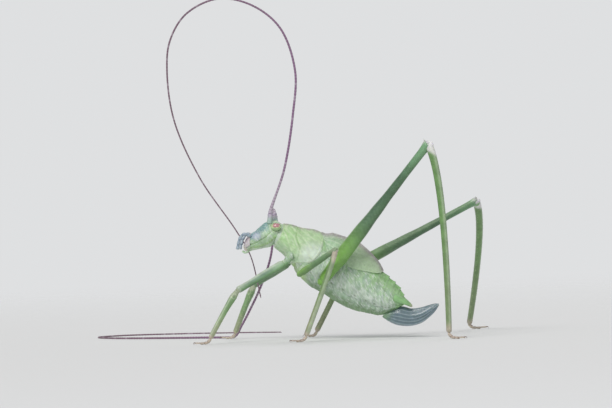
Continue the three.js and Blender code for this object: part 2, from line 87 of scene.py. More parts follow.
def layered(size: tuple[int, ...], base: Colour, coats: Sequence[tuple[Colour, Array]]) -> Array:
    """Colours of a surface, painted coat over coat.

    Args:
        size: the number of its points, or of its rings and of the points on each.
        base: the colour under the coats.
        coats: pairs of a colour and the share with which it covers each point.

    Returns:
        One colour for each point.
    """
    tint = np.broadcast_to(np.asarray(base, float), (*size, 3))
    for colour, share in coats:
        tint = blend(tint, colour, share)
    return tint


def unit(v: Array) -> Array:
    """Vectors at length 1."""
    return v / np.maximum(np.linalg.norm(v, axis=-1, keepdims=True), 1e-12)


def dome(from_end: Array, radius: float, most: float, least: float) -> Array:
    """The share of its full size that a rod has near its rounded end.

    Args:
        from_end: distances from the end.
        radius: how far the rounding reaches.
        most: how much of the rounding's circle is used.
        least: the smallest square of the share.

    Returns:
        The shares.
    """
    return np.sqrt(np.clip(1 - np.clip(1 - from_end / radius, 0, most) ** 2, least, 1))


def table_at(rows: Sequence[Sequence[float]], t: Array) -> Array:
    """Columns of a table at positions between its rows, eased from row to row.

    Args:
        rows: rows of a position followed by values, in rising order of position.
        t: positions.

    Returns:
        One row of values for each position.
    """
    grid = np.asarray(rows, float)
    i = np.clip(np.searchsorted(grid[:, 0], t, side="right") - 1, 0, len(grid) - 2)
    share = smooth(0, 1, (t - grid[i, 0]) / (grid[i + 1, 0] - grid[i, 0]))[:, None]
    return grid[i, 1:] * (1 - share) + grid[i + 1, 1:] * share


def route_through(points: Sequence[Sequence[float]], steps_each: int = 40) -> Array:
    """A centripetal smooth route through points, so that uneven spacing makes no loops.

    Args:
        points: the points that it passes.
        steps_each: how many short steps lie between two points.

    Returns:
        The route as closely spaced points.
    """
    p = np.asarray(points, float)
    p = np.vstack([2 * p[0] - p[1], p, 2 * p[-1] - p[-2]])
    t = np.linspace(0, 1, steps_each, endpoint=False)[:, None]
    out = []
    for a, b, c, d in zip(p, p[1:], p[2:], p[3:]):
        ab, bc, cd = (max(np.linalg.norm(v) ** 0.5, 1e-6) for v in (b - a, c - b, d - c))
        into = ((b - a) / ab - (c - a) / (ab + bc) + (c - b) / bc) * bc
        outof = ((c - b) / bc - (d - b) / (bc + cd) + (d - c) / cd) * bc
        square, cube = 3 * (c - b) - 2 * into - outof, into + outof - 2 * (c - b)
        out.append(b + into * t + square * t**2 + cube * t**3)
    return np.vstack([*out, p[-2:-1]])


def evenly(path: Array, count: int) -> tuple[Array, float]:
    """A path's points at even spacing, and its length."""
    reach = np.concatenate([[0], np.cumsum(np.linalg.norm(np.diff(path, axis=0), axis=1))])
    at = np.linspace(0, 1, count) * reach[-1]
    return np.stack([np.interp(at, reach, path[:, k]) for k in range(3)], 1), reach[-1]


def distance_to(points: Array, line: Sequence[Sequence[float]]) -> Array:
    """Shortest distance from points to a line of straight stretches, in the same plane."""
    corners = np.asarray(line, float)
    best = np.full(points.shape[:-1], np.inf)
    for a, b in zip(corners, corners[1:]):
        d = b - a
        share = np.clip(((points - a) @ d) / max(d @ d, 1e-12), 0, 1)
        best = np.minimum(best, np.linalg.norm(points - a - share[..., None] * d, axis=-1))
    return best


def from_middle(points: Array, middle: Sequence[float], radii: Sequence[float]) -> Array:
    """Distance from a middle in radii of an oval, so that the oval itself lies at 1."""
    return np.linalg.norm((points - np.asarray(middle)) / np.asarray(radii), axis=-1)


def inside(points: Array, outline: Sequence[Sequence[float]]) -> Array:
    """Whether points lie inside a closed outline in their plane."""
    corners = np.asarray(outline, float)
    y, z = points[..., 0], points[..., 1]
    found = np.zeros(y.shape, bool)
    for a, b in zip(corners, np.roll(corners, -1, axis=0)):
        rise = b[1] - a[1] if b[1] != a[1] else 1e-12
        found ^= ((a[1] > z) != (b[1] > z)) & (y < (b[0] - a[0]) * (z - a[1]) / rise + a[0])
    return found


# ---------------------------------------------------------------- meshes


@dataclass
class Shape:
    """Vertices in millimetres, faces, a colour for each vertex and how strongly each takes a pattern."""

    points: Array
    faces: list[tuple[int, ...]]
    tint: Array
    marks: Array | None = None

    def painted(self, tint: Array | Colour) -> Shape:
        """The same shape in another colour, or one colour for each vertex."""
        self.tint = np.broadcast_to(np.asarray(tint, float), self.points.shape).copy()
        return self

    def placed(self, origin: Array, axes: Array) -> Shape:
        """Moves the shape so that its own x, y and z lie along the rows of axes, from origin."""
        self.points = self.points @ np.asarray(axes, float) + np.asarray(origin, float)
        return self


def joined(shapes: Sequence[Shape]) -> Shape:
    """Several shapes as one, without welding them."""
    faces: list[tuple[int, ...]] = []
    start = 0
    for s in shapes:
        faces += [tuple(i + start for i in f) for f in s.faces]
        start += len(s.points)
    return Shape(np.vstack([s.points for s in shapes]), faces, np.vstack([s.tint for s in shapes]))


@dataclass
class Rings:
    """A closed surface laid over rings: points[i, j] is place j on ring i."""

    points: Array

    def normals(self) -> Array:
        """Outward directions at every point."""
        along = np.gradient(self.points, axis=0)
        around = np.roll(self.points, -1, axis=1) - np.roll(self.points, 1, axis=1)
        n = unit(np.cross(around, along))
        middle = self.points.mean(axis=1, keepdims=True)
        return n * (1 if ((self.points - middle) * n).sum() > 0 else -1)

    def pushed(self, height: Array) -> Rings:
        """The surface moved out along its normals by a height for each point."""
        return Rings(self.points + self.normals() * height[..., None])

    def shape(self, tint: Array | Colour = (0.5, 0.5, 0.5)) -> Shape:
        """A closed mesh of the surface, with a fan over each end.

        Args:
            tint: one colour, or a colour for each point.

        Returns:
            The mesh, with its faces pointing out.
        """
        n, m = self.points.shape[:2]
        i, j = np.meshgrid(np.arange(n - 1), np.arange(m), indexing="ij")
        k = (j + 1) % m
        quads = np.stack([i * m + j, i * m + k, (i + 1) * m + k, (i + 1) * m + j], -1).reshape(-1, 4)
        ends = np.vstack([self.points[0].mean(0), self.points[-1].mean(0)])
        points = np.vstack([self.points.reshape(-1, 3), ends])
        ring = np.arange(m)
        first = np.stack([np.full(m, n * m), np.roll(ring, -1), ring], 1)
        last = np.stack([np.full(m, n * m + 1), ring + (n - 1) * m, np.roll(ring, -1) + (n - 1) * m], 1)
        a, b, c, d = (points[quads[:, q]] for q in range(4))
        volume = (np.cross(b, c) * a).sum() + (np.cross(c, d) * a).sum()
        faces = [tuple(face) for group in (quads, first, last) for face in group.tolist()]
        if volume < 0:
            faces = [f[::-1] for f in faces]
        colours = np.broadcast_to(np.asarray(tint, float), (n, m, 3)).reshape(-1, 3)
        return Shape(points, faces, np.vstack([colours, colours[0], colours[-1]]))


def swept(path: Array, depth: Array, width: Array, reference: Array | Point, sides: int,
          squareness: float = 1.0) -> tuple[Rings, Array]:
    """An oval rod along a path.

    Args:
        path: its middle line.
        depth: its full size towards the reference direction, at each point of the path.
        width: its full size across that.
        reference: the direction of its depth.
        sides: how many points lie on each ring.
        squareness: below 1, the oval fills out its corners.

    Returns:
        The rings, and how far each point faces the reference direction, from -1 to 1.
    """
    tangent = unit(np.gradient(path, axis=0))
    reference = np.broadcast_to(np.asarray(reference, float), path.shape)
    deep = unit(reference - (reference * tangent).sum(1, keepdims=True) * tangent)
    wide = np.cross(tangent, deep)
    angle = np.linspace(0, 2 * math.pi, sides, endpoint=False)
    up, out = (np.sign(v) * np.abs(v) ** squareness for v in (np.cos(angle), np.sin(angle)))
    points = (path[:, None] + deep[:, None] * (up[None, :, None] * depth[:, None, None] / 2)
              + wide[:, None] * (out[None, :, None] * width[:, None, None] / 2))
    return Rings(points), np.broadcast_to(np.cos(angle), (len(path), sides))


def ball(centre: Sequence[float], radii: Sequence[float], axes: Array | None = None,
         rings: int = 16, sides: int = 20) -> Shape:
    """An egg of three radii about a centre, its own axes along the rows of axes."""
    t = np.linspace(0.02, math.pi - 0.02, rings)[:, None]
    a = np.linspace(0, 2 * math.pi, sides, endpoint=False)[None]
    points = np.stack([np.sin(t) * np.cos(a), np.sin(t) * np.sin(a), np.cos(t) + 0 * a], -1)
    shape = Rings(points * np.asarray(radii, float)).shape()
    return shape.placed(np.asarray(centre, float), np.eye(3) if axes is None else axes)


def spike(foot: Array, direction: Array, length: float, radius: float, tint: Colour) -> Shape:
    """A small sharp spine."""
    path = np.asarray(foot) + np.linspace(-0.15, 1, 5)[:, None] * length * unit(np.asarray(direction, float))
    size = 2 * radius * np.array([1.0, 0.85, 0.6, 0.3, 0.04])
    return swept(path, size, size, (0.31, 0.59, 0.74), 6)[0].shape(tint)


# ---------------------------------------------------------------- finishes


@dataclass
class Graph:
    """A tree of shader nodes, made and linked in short calls."""

    tree: bpy.types.NodeTree

    @cached_property
    def place(self) -> Socket:
        """The place on the object, in metres."""
        return self.add("TexCoord", {}).outputs["Object"]

    def add(self, kind: str, inputs: dict, **settings: object) -> bpy.types.Node:
        """Makes a node.

        Args:
            kind: its type.
            inputs: the value of each input that isn't left as it is.
            settings: its other properties.

        Returns:
            The node.
        """
        made = self.tree.nodes.new(f"ShaderNode{kind}")
        for name, value in settings.items():
            setattr(made, name, value)
        self.fill(made, inputs)
        return made

    def fill(self, node: bpy.types.Node, inputs: dict) -> None:
        """Gives a node's inputs their values: a number, a colour or another node's output."""
        for name, value in inputs.items():
            if isinstance(value, Socket):
                self.tree.links.new(value, node.inputs[name])
            elif node.inputs[name].type == "RGBA":
                node.inputs[name].default_value = (*value, 1.0)
            else:
                node.inputs[name].default_value = value

    def painted(self, name: str, output: str) -> Socket:
        """A value that the mesh carries for each vertex."""
        return self.add("Attribute", {}, attribute_name=name).outputs[output]

    def noise(self, size: float, detail: float, place: Socket | None = None) -> Socket:
        """Cloudy values from 0 to 1, with clouds of a size in millimetres."""
        inputs = {"Vector": place or self.place, "Scale": 1.0 / (size * MM), "Detail": detail}
        return self.add("TexNoise", inputs).outputs["Fac"]

    def cells(self, size: float, feature: str) -> Socket:
        """Distances in a net of cells of a size in millimetres."""
        inputs = {"Vector": self.place, "Scale": 1.0 / (size * MM)}
        return self.add("TexVoronoi", inputs, feature=feature).outputs["Distance"]

    def remap(self, value: Socket, low: float, high: float, to_low: float, to_high: float) -> Socket:
        """A value moved from one range to another, clamped and eased."""
        inputs = {"Value": value, "From Min": low, "From Max": high, "To Min": to_low, "To Max": to_high}
        return self.add("MapRange", inputs, interpolation_type="SMOOTHSTEP").outputs["Result"]

    def mixed(self, share: Socket, under: Socket, over: Colour) -> Socket:
        """A colour laid over another by a share."""
        return self.add("Mix", {"Factor": share, "A": under, "B": over}, data_type="RGBA").outputs["Result"]

    def mixed_shaders(self, share: Socket, first: Socket, second: Socket, output: str) -> None:
        """Two shaders mixed by a share, as what the tree's output node shows."""
        mix = self.add("MixShader", {"Fac": share, 1: first, 2: second})
        self.fill(self.tree.nodes[output], {"Surface": mix.outputs["Shader"]})

    def shaded(self, colour: Socket, value: Socket, contrast: float) -> Socket:
        """A colour made lighter and darker by a value from 0 to 1."""
        gain = self.remap(value, 0.3, 0.7, 1.0 - contrast, 1.0 + contrast)
        return self.add("VectorMath", {"Vector": colour, "Scale": gain}, operation="SCALE").outputs["Vector"]


class Pattern(Enum):
    """How a finish's fine colour changes from place to place."""

    MOTTLED = "cloudy patches"
    STREAKED = "slanting pale streaks"
    VEINED = "fine net with dark specks"
    FACETED = "many tiny facets"
    SMOOTH = "faint clouds"


@dataclass(frozen=True)
class Streaks:
    """Slanting dashes: their size, the values of noise where they start and are full, and their look."""

    size: float
    start: float
    full: float
    strength: float
    tone: Colour


@dataclass(frozen=True)
class Cuticle:
    """One finish of insect skin. Sizes are in millimetres, and lean is the slant of its streaks."""

    name: str
    pattern: Pattern
    roughness: float = 0.42
    patch: float = 0.5
    contrast: float = 0.12
    grain: float = 0.12
    relief: float = 0.25
    glow: float = 0.12
    coat: float = 0.0
    pale: Colour = (0.62, 0.72, 0.58)
    lean: float = -60.0
    flecks: float = 0.30
    streaks: tuple[Streaks, ...] = (
        Streaks(0.20, 0.46, 0.34, 0.34, (0.22, 0.37, 0.19)),
        Streaks(0.11, 0.545, 0.625, 0.64, (0.74, 0.79, 0.75)),
        Streaks(0.20, 0.57, 0.65, 0.50, (0.70, 0.75, 0.74)))

    FLECK = 0.16
    NET = 0.42
    SPECK = 0.36
    SPECK_TONE = (0.07, 0.12, 0.06)
    FACET = 0.075

    def material(self) -> bpy.types.Material:
        """Makes the material: painted colour, fine pattern, roughness and relief.

        Returns:
            The material, which reads the colours and marks that the mesh carries.
        """
        found = bpy.data.materials.get(self.name)
        if found:
            return found
        made = bpy.data.materials.new(self.name)
        made.use_nodes = True
        graph = Graph(made.node_tree)
        grain = graph.noise(self.grain, 3.0)
        low, high = self.roughness - 0.07, self.roughness + 0.09
        rough = graph.add("MapRange", {"Value": grain, "To Min": low, "To Max": high})
        bump = graph.add("Bump", {"Strength": self.relief, "Distance": self.grain * MM * 0.35,
                                  "Height": self._relief(graph, grain)})
        graph.fill(made.node_tree.nodes["Principled BSDF"], {
            "Base Color": self._patterned(graph), "Roughness": rough.outputs["Result"], "IOR": 1.46,
            "Normal": bump.outputs["Normal"], "Subsurface Weight": self.glow,
            "Subsurface Radius": (0.8, 1.0, 0.45), "Subsurface Scale": 0.45 * MM,
            "Coat Weight": self.coat, "Coat Roughness": 0.12})
        return made

    def _leaning(self, graph: Graph) -> Socket:
        """Coordinates drawn out along the slant of the streaks."""
        turn = (math.radians(self.lean), 0, 0)
        inputs = {"Vector": graph.place, "Rotation": turn, "Scale": (2.0, 5.0, 1.0)}
        return graph.add("Mapping", inputs, vector_type="TEXTURE").outputs["Vector"]

    def _patterned(self, graph: Graph) -> Socket:
        """The painted colour with this finish's fine pattern over it."""
        colour = graph.shaded(graph.painted("tint", "Color"), graph.noise(self.patch, 5.0), self.contrast)
        if self.pattern is Pattern.STREAKED:
            marks = graph.painted("marks", "Fac")
            for layer in self.streaks:
                dashes = graph.noise(layer.size, 3.0, self._leaning(graph))
                share = graph.remap(dashes, layer.start, layer.full, 0.0, layer.strength)
                masked = graph.add("Math", {0: share, 1: marks}, operation="MULTIPLY").outputs["Value"]
                colour = graph.mixed(masked, colour, layer.tone)
        if self.pattern in (Pattern.MOTTLED, Pattern.STREAKED):
            share = graph.remap(graph.noise(self.FLECK, 2.0), 0.58, 0.70, 0.0, self.flecks)
            colour = graph.mixed(share, colour, self.pale)
        if self.pattern is Pattern.VEINED:
            share = graph.remap(graph.cells(self.NET, "DISTANCE_TO_EDGE"), 0.0, 0.09, 0.35, 0.0)
            colour = graph.mixed(share, colour, self.pale)
            share = graph.remap(graph.cells(self.SPECK, "F1"), 0.06, 0.16, 0.5, 0.0)
            colour = graph.mixed(share, colour, self.SPECK_TONE)
        if self.pattern is Pattern.FACETED:
            colour = graph.shaded(colour, graph.cells(self.FACET, "F1"), 0.1)
        return colour

    def _relief(self, graph: Graph, grain: Socket) -> Socket:
        """The height that the surface's relief follows."""
        if self.pattern is Pattern.FACETED:
            return graph.cells(self.FACET, "F1")
        if self.pattern is Pattern.VEINED:
            return graph.cells(self.NET, "DISTANCE_TO_EDGE")
        return grain


SKIN = Cuticle("skin_cuticle", Pattern.STREAKED, patch=0.7, contrast=0.14)
SHIELD = Cuticle("pronotum_cuticle", Pattern.STREAKED, patch=0.6, relief=0.3, lean=-42.0, streaks=(
    Streaks(0.24, 0.46, 0.34, 0.30, (0.27, 0.44, 0.18)),
    Streaks(0.13, 0.545, 0.64, 0.55, (0.66, 0.76, 0.56))))
PAD = Cuticle("wing_pad_cuticle", Pattern.VEINED, patch=0.8, contrast=0.10, relief=0.35)
EYE = Cuticle("eye_lens", Pattern.FACETED, roughness=0.2, coat=0.6, patch=0.3, contrast=0.08, glow=0.05)
MOUTH = Cuticle("mouth_cuticle", Pattern.SMOOTH, roughness=0.38, patch=0.25, contrast=0.1)
PALP = Cuticle("palp_cuticle", Pattern.SMOOTH, roughness=0.34, patch=0.3, contrast=0.06, grain=0.05,
               relief=0.05, glow=0.1)
FEELER = Cuticle("feeler_cuticle", Pattern.SMOOTH, roughness=0.4, patch=0.3, contrast=0.10, grain=0.05,
                 relief=0.05, glow=0.0)
SCAPE = Cuticle("scape_cuticle", Pattern.SMOOTH, roughness=0.4, patch=0.2, contrast=0.10, grain=0.06,
                relief=0.08)
BLADE = Cuticle("ovipositor_cuticle", Pattern.SMOOTH, roughness=0.28, glow=0.15, coat=0.3)
LEG = Cuticle("leg_cuticle", Pattern.MOTTLED, roughness=0.36, patch=0.8, relief=0.2, coat=0.1,
              pale=(0.42, 0.55, 0.34), flecks=0.12)
FOOT = Cuticle("foot_cuticle", Pattern.SMOOTH, roughness=0.45, patch=0.25, contrast=0.15)


# ---------------------------------------------------------------- showing pieces


@dataclass
class Cabinet:
    """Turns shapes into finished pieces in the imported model's frame, and counts them."""

    origin: Vector
    shown: dict[str, int] = field(default_factory=dict)

    TIP_OF_BLADE = 13.90

    @classmethod
    def from_frame(cls) -> Cabinet:
        """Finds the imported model's datum from its egg-laying blade, which lies in the middle plane."""
        low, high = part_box("ovipositor")
        return cls(Vector(((low.x + high.x) / 2, high.y - cls.TIP_OF_BLADE * MM, 0.0)))

    def place(self, point: Sequence[float]) -> Vector:
        """A place in the animal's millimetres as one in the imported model's metres."""
        return Vector(point) * MM + self.origin

    def show(self, name: str, shape: Shape, finish: Cuticle, slot: str, *nodes: str) -> None:
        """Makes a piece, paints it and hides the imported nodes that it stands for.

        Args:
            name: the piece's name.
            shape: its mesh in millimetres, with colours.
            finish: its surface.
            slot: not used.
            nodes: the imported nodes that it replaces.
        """
        mesh = bpy.data.meshes.new(name)
        points = shape.points * MM + np.asarray(self.origin)
        mesh.from_pydata(points.tolist(), [], shape.faces)
        mesh.shade_smooth()
        colours = np.ones((len(points), 4), np.float32)
        colours[:, :3] = shape.tint
        mesh.attributes.new("tint", "FLOAT_COLOR", "POINT").data.foreach_set("color", colours.ravel())
        marks = np.ones(len(points)) if shape.marks is None else shape.marks
        mesh.attributes.new("marks", "FLOAT", "POINT").data.foreach_set("value", marks.astype(np.float32))
        mesh.materials.append(finish.material())
        piece = bpy.data.objects.new(name, mesh)
        bpy.context.scene.collection.objects.link(piece)
        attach(piece, "root")
        if nodes:
            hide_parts(*nodes)
        self.shown[name] = len(shape.faces)
        log.info("%s: %d faces", name, len(shape.faces))


class Join(Enum):
    """How solids are put together."""

    WELD = "UNION"
    KEEP_COMMON = "INTERSECT"


def solid_from(first: Shape, others: Sequence[Shape], how: Join) -> Shape:
    """Welds closed shapes, or keeps what they have in common, with each place's colour.

    Args:
        first: the solid that is changed.
        others: the solids that change it.
        how: the way of joining.

    Returns:
        One closed shape.
    """
    made = []
    for shape in (first, *others):
        mesh = bpy.data.meshes.new("working")
        mesh.from_pydata(shape.points.tolist(), [], shape.faces)
        made.append(bpy.data.objects.new("working", mesh))
        bpy.context.scene.collection.objects.link(made[-1])
    for tool in made[1:]:
        step = made[0].modifiers.new("join", "BOOLEAN")
        step.operation = how.value
        step.solver = "MANIFOLD"
        step.object = tool
    result = made[0].evaluated_get(bpy.context.evaluated_depsgraph_get()).to_mesh()
    points = np.empty(len(result.vertices) * 3)
    result.vertices.foreach_get("co", points)
    points = points.reshape(-1, 3)
    faces = [tuple(f.vertices) for f in result.polygons]
    for thing in made:
        mesh = thing.data
        bpy.data.objects.remove(thing)
        bpy.data.meshes.remove(mesh)
    painted = joined([first, *others] if how is Join.WELD else [first])
    tree = KDTree(len(painted.points))
    for i, p in enumerate(painted.points):
        tree.insert(p, i)
    tree.balance()
    return Shape(points, faces, painted.tint[[tree.find(p)[1] for p in points]])


def slab(outline: Sequence[Sequence[float]], near: float, far: float) -> Shape:
    """A block across the body, from x = near to x = far, over a closed side outline of (y, z)."""
    corners = np.asarray(outline, float)
    n = len(corners)
    points = np.vstack([np.column_stack([np.full(n, x), corners]) for x in (near, far)])
    sides = [(i, (i + 1) % n, n + (i + 1) % n, n + i) for i in range(n)]
    area = (corners[:, 0] * np.roll(corners[:, 1], -1) - np.roll(corners[:, 0], -1) * corners[:, 1]).sum()
    faces = [*sides, tuple(range(n))[::-1], tuple(range(n, 2 * n))]
    if area < 0:
        faces = [f[::-1] for f in faces]
    return Shape(points, faces, np.full((2 * n, 3), 0.5))


def softened(outline: Sequence[Sequence[float]], steps_each: int = 8) -> Array:
    """A closed side outline with its corners rounded."""
    loop = np.asarray(outline, float)
    n = len(loop)
    flat = np.column_stack([np.zeros(n + 4), np.vstack([loop[-2:], loop, loop[:2]])])
    return route_through(flat, steps_each)[2 * steps_each:(n + 2) * steps_each, 1:]


# ---------------------------------------------------------------- body


@dataclass(frozen=True)
class Loft:
    """Egg-shaped sections across the middle plane, joined smoothly from row to row.

    Each row is the back's (y, z), the belly's (y, z) and half of the width.
    """

    rows: tuple[tuple[float, float, float, float, float], ...]
    fullest: float
    roundness: float
    steps: int = 40

    def rings(self, s: Array, sides: int, grow: float = 0.0) -> tuple[Rings, Array, Array]:
        """Rings at fractional row numbers.

        Args:
            s: the row numbers.
            sides: points on a ring.
            grow: how far the surface is moved out.

        Returns:
            The rings, how far down each point lies from back (0) to belly (1), and its row number.
        """
        rows = np.asarray(self.rows)
        routes = (route_through(rows[:, [4, *at]], self.steps) for at in ((0, 1), (2, 3)))
        at = s * self.steps
        back, belly = (np.stack([np.interp(at, np.arange(len(route)), column) for column in route.T], 1)
                       for route in routes)
        lift = unit(back[:, 1:] - belly[:, 1:]) * grow
        top, bottom = back[:, 1:] + lift, belly[:, 1:] - lift
        half = (back[:, 0] + belly[:, 0]) / 2 + grow
        angle = np.linspace(0, 2 * math.pi, sides, endpoint=False) + math.pi / sides
        down = np.broadcast_to((1 - np.cos(angle)) / 2, (len(at), sides))
        power = math.log(0.5) / math.log(self.fullest)
        out = half[:, None] * np.sin(math.pi * down**power) ** self.roundness * np.sign(np.sin(angle))
        plane = top[:, None] + (bottom - top)[:, None] * down[..., None]
        where = np.broadcast_to(s[:, None], down.shape)
        return Rings(np.concatenate([out[..., None], plane], -1)), down, where


TRUNK = Loft((
    (-2.60, 12.42, -3.55, 10.05, 1.05), (-1.55, 12.22, -2.55, 9.25, 1.35), (-0.40, 11.85, -1.75, 8.15, 1.55),
    (0.90, 11.62, -1.00, 6.90, 1.72), (2.20, 10.98, 0.15, 5.75, 1.88), (3.60, 10.50, 1.50, 4.95, 1.98),
    (5.00, 9.95, 3.00, 3.95, 2.05), (6.40, 8.85, 4.70, 3.10, 2.02), (7.65, 7.45, 6.30, 2.70, 1.85),
    (8.80, 6.33, 7.60, 2.45, 1.52), (9.70, 5.40, 8.80, 2.85, 1.10), (10.20, 4.40, 9.70, 3.25, 0.70),
    (10.50, 3.95, 10.20, 3.50, 0.35)), 0.56, 0.72)
HEAD = Loft((
    (-2.20, 12.20, -3.10, 10.30, 0.80), (-2.72, 12.45, -3.60, 10.20, 0.95), (-3.15, 12.78, -4.00, 9.98, 1.14),
    (-3.75, 12.80, -4.50, 9.90, 1.20), (-4.45, 12.60, -5.00, 9.80, 1.18), (-5.10, 12.10, -5.45, 9.72, 1.08),
    (-5.65, 11.68, -5.85, 9.65, 0.95), (-6.20, 11.30, -6.20, 9.55, 0.78), (-6.52, 10.80, -6.50, 9.55, 0.58),
    (-6.68, 10.40, -6.66, 9.85, 0.30)), 0.50, 0.70)
BLADE_FORM = Loft((
    (8.15, 2.75, 7.80, 2.25, 0.32), (9.05, 3.10, 8.42, 1.80, 0.38), (9.95, 3.36, 9.35, 1.36, 0.38),
    (10.95, 3.12, 10.75, 1.22, 0.34), (11.90, 3.20, 11.95, 1.50, 0.31), (12.75, 3.42, 12.95, 2.20, 0.28),
    (13.45, 3.55, 13.55, 2.85, 0.26), (13.85, 3.56, 13.90, 3.36, 0.20)), 0.5, 0.8)


@dataclass
class Body:
    """One closed skin from the head to the tail, with its coxae, and the plates that lie on it.

    Outlines and lines on it are side views, as places (y, z).
    """

    cabinet: Cabinet
    trunk_rings: int = 230
    trunk_sides: int = 236
    head_rings: int = 110
    head_sides: int = 170
    plate_sides: int = 230
    inset: float = 0.02
    belts: tuple[float, ...] = (3.55, 4.35, 5.15, 5.95, 6.75, 7.5, 8.2, 8.9, 9.55, 10.2, 10.9, 12.0)
    furrows: Line = ((0.85, 0.9), (1.75, 0.9), (2.55, 0.8), (3.3, 0.7))
    swellings: tuple[float, ...] = (1.3, 2.2, 2.95)
    back_green: Colour = (0.23, 0.44, 0.17)
    leaf_green: Colour = (0.36, 0.56, 0.29)
    grey_green: Colour = (0.32, 0.46, 0.33)
    white: Colour = (0.50, 0.61, 0.50)
    chalk: Colour = (0.66, 0.73, 0.66)
    lime: Colour = (0.40, 0.60, 0.22)
    belly_green: Colour = (0.17, 0.30, 0.13)
    face_blue: Colour = (0.19, 0.36, 0.37)
    lilac: Colour = (0.40, 0.45, 0.60)
    cheek: Colour = (0.40, 0.58, 0.36)
    mauve: Colour = (0.36, 0.27, 0.33)
    flank_outline: Line = (
        (-2.4, 9.6), (-0.6, 8.3), (2.2, 9.0), (4.6, 7.9), (6.4, 7.1), (8.6, 4.7), (9.3, 3.6), (7.6, 3.0),
        (4.8, 3.8), (2.8, 4.8), (0.0, 6.8))
    shield_outline: Line = (
        (-2.50, 13.30), (-2.48, 12.00), (-2.70, 11.20), (-3.50, 10.05), (-3.90, 9.70), (-3.00, 9.00),
        (-1.90, 8.45), (-0.90, 8.25), (0.50, 8.30), (1.40, 9.10), (1.80, 10.20), (1.65, 12.60))
    shield_furrow: Line = ((-0.95, 12.1), (-1.05, 11.0), (-0.55, 9.9), (-0.9, 8.7))
    shield_lines: tuple[Line, ...] = (
        ((-3.0, 12.35), (-2.1, 11.2), (-1.5, 9.6)), ((-2.5, 12.3), (-1.3, 11.0), (-0.4, 9.0)),
        ((-1.6, 12.0), (-0.3, 10.9), (0.7, 9.6)), ((-0.5, 11.6), (0.6, 10.8), (1.5, 10.2)))
    pad_outline: Line = (
        (1.55, 12.60), (1.98, 10.30), (2.30, 9.40), (3.40, 8.35), (4.85, 7.57), (6.30, 7.20), (7.60, 6.95),
        (8.05, 7.14), (7.95, 7.80), (7.52, 8.52), (6.90, 9.30), (6.30, 9.95), (4.20, 12.20))
    pad_root: tuple[float, float] = (1.2, 11.0)
    vein_aims: Line = ((-8, 1.5), (-19, 1.2), (-30, 0.6), (-41, -0.5), (-53, -1.5), (-66, -2.5))
    cheek_groove: Line = ((-3.55, 11.70), (-4.30, 11.05), (-5.20, 10.55), (-6.05, 10.25))
    cheek_fold: Line = ((-3.3, 11.1), (-4.0, 10.45), (-5.0, 10.1), (-5.9, 9.95))
    cheek_line: Line = ((-3.3, 10.8), (-4.2, 10.15), (-5.2, 9.85), (-6.1, 9.75))
    face_seam: Line = ((-5.35, 12.05), (-5.75, 11.30), (-5.75, 10.70), (-6.00, 10.25))
    face_lines: tuple[Line, ...] = (
        ((-4.1, 12.2), (-4.5, 11.5), (-4.6, 10.9)), ((-3.7, 11.6), (-4.0, 11.1), (-4.2, 10.6)))
    feeler_socket: Point = (0.55, -3.85, 12.62)

    def trunk(self) -> Shape:
        """Thorax and abdomen, with overlapping belts, a saw-edged back, folds and breathing holes."""
        s = np.linspace(0, len(TRUNK.rows) - 1, self.trunk_rings)
        rings, down, where = TRUNK.rings(s, self.trunk_sides, -self.inset)
        part = np.interp(where, self.belts, np.arange(len(self.belts))) % 1.0
        on_abdomen = smooth(3.5, 4.1, where) * (1 - smooth(11.2, 12, where))
        on_thorax = 1 - smooth(3.2, 3.8, where)
        step = part * (1 - smooth(0.90, 0.99, part)) * (1 - 0.5 * smooth(0.7, 0.95, down))
        teeth = bell(rings.points[..., 0], 0.28) * (1 - smooth(0.05, 0.12, down)) * part**3
        fold = bell(down - 0.80 - 0.015 * np.sin(where * 4), 0.022)
        hole = bell(part - 0.30, 0.10) * bell(down - 0.745, 0.012) * on_abdomen
        height = (0.07 * step + 0.13 * teeth * (1 - smooth(0.94, 1, part)) - 0.07 * fold
                  + 0.05 * bell(down - 0.86, 0.03)) * on_abdomen - 0.10 * hole
        for start, lean in self.furrows:
            furrow = bell(where - start + lean * (down - 0.7), 0.075)
            height -= 0.07 * furrow * smooth(0.3, 0.45, down) * on_thorax
        for start in self.swellings:
            swelling = bell(where - start + 0.9 * (down - 0.7), 0.3)
            height += 0.06 * swelling * smooth(0.45, 0.6, down) * on_thorax
        return rings.pushed(height).shape(self.trunk_paint(down, where, part, hole))

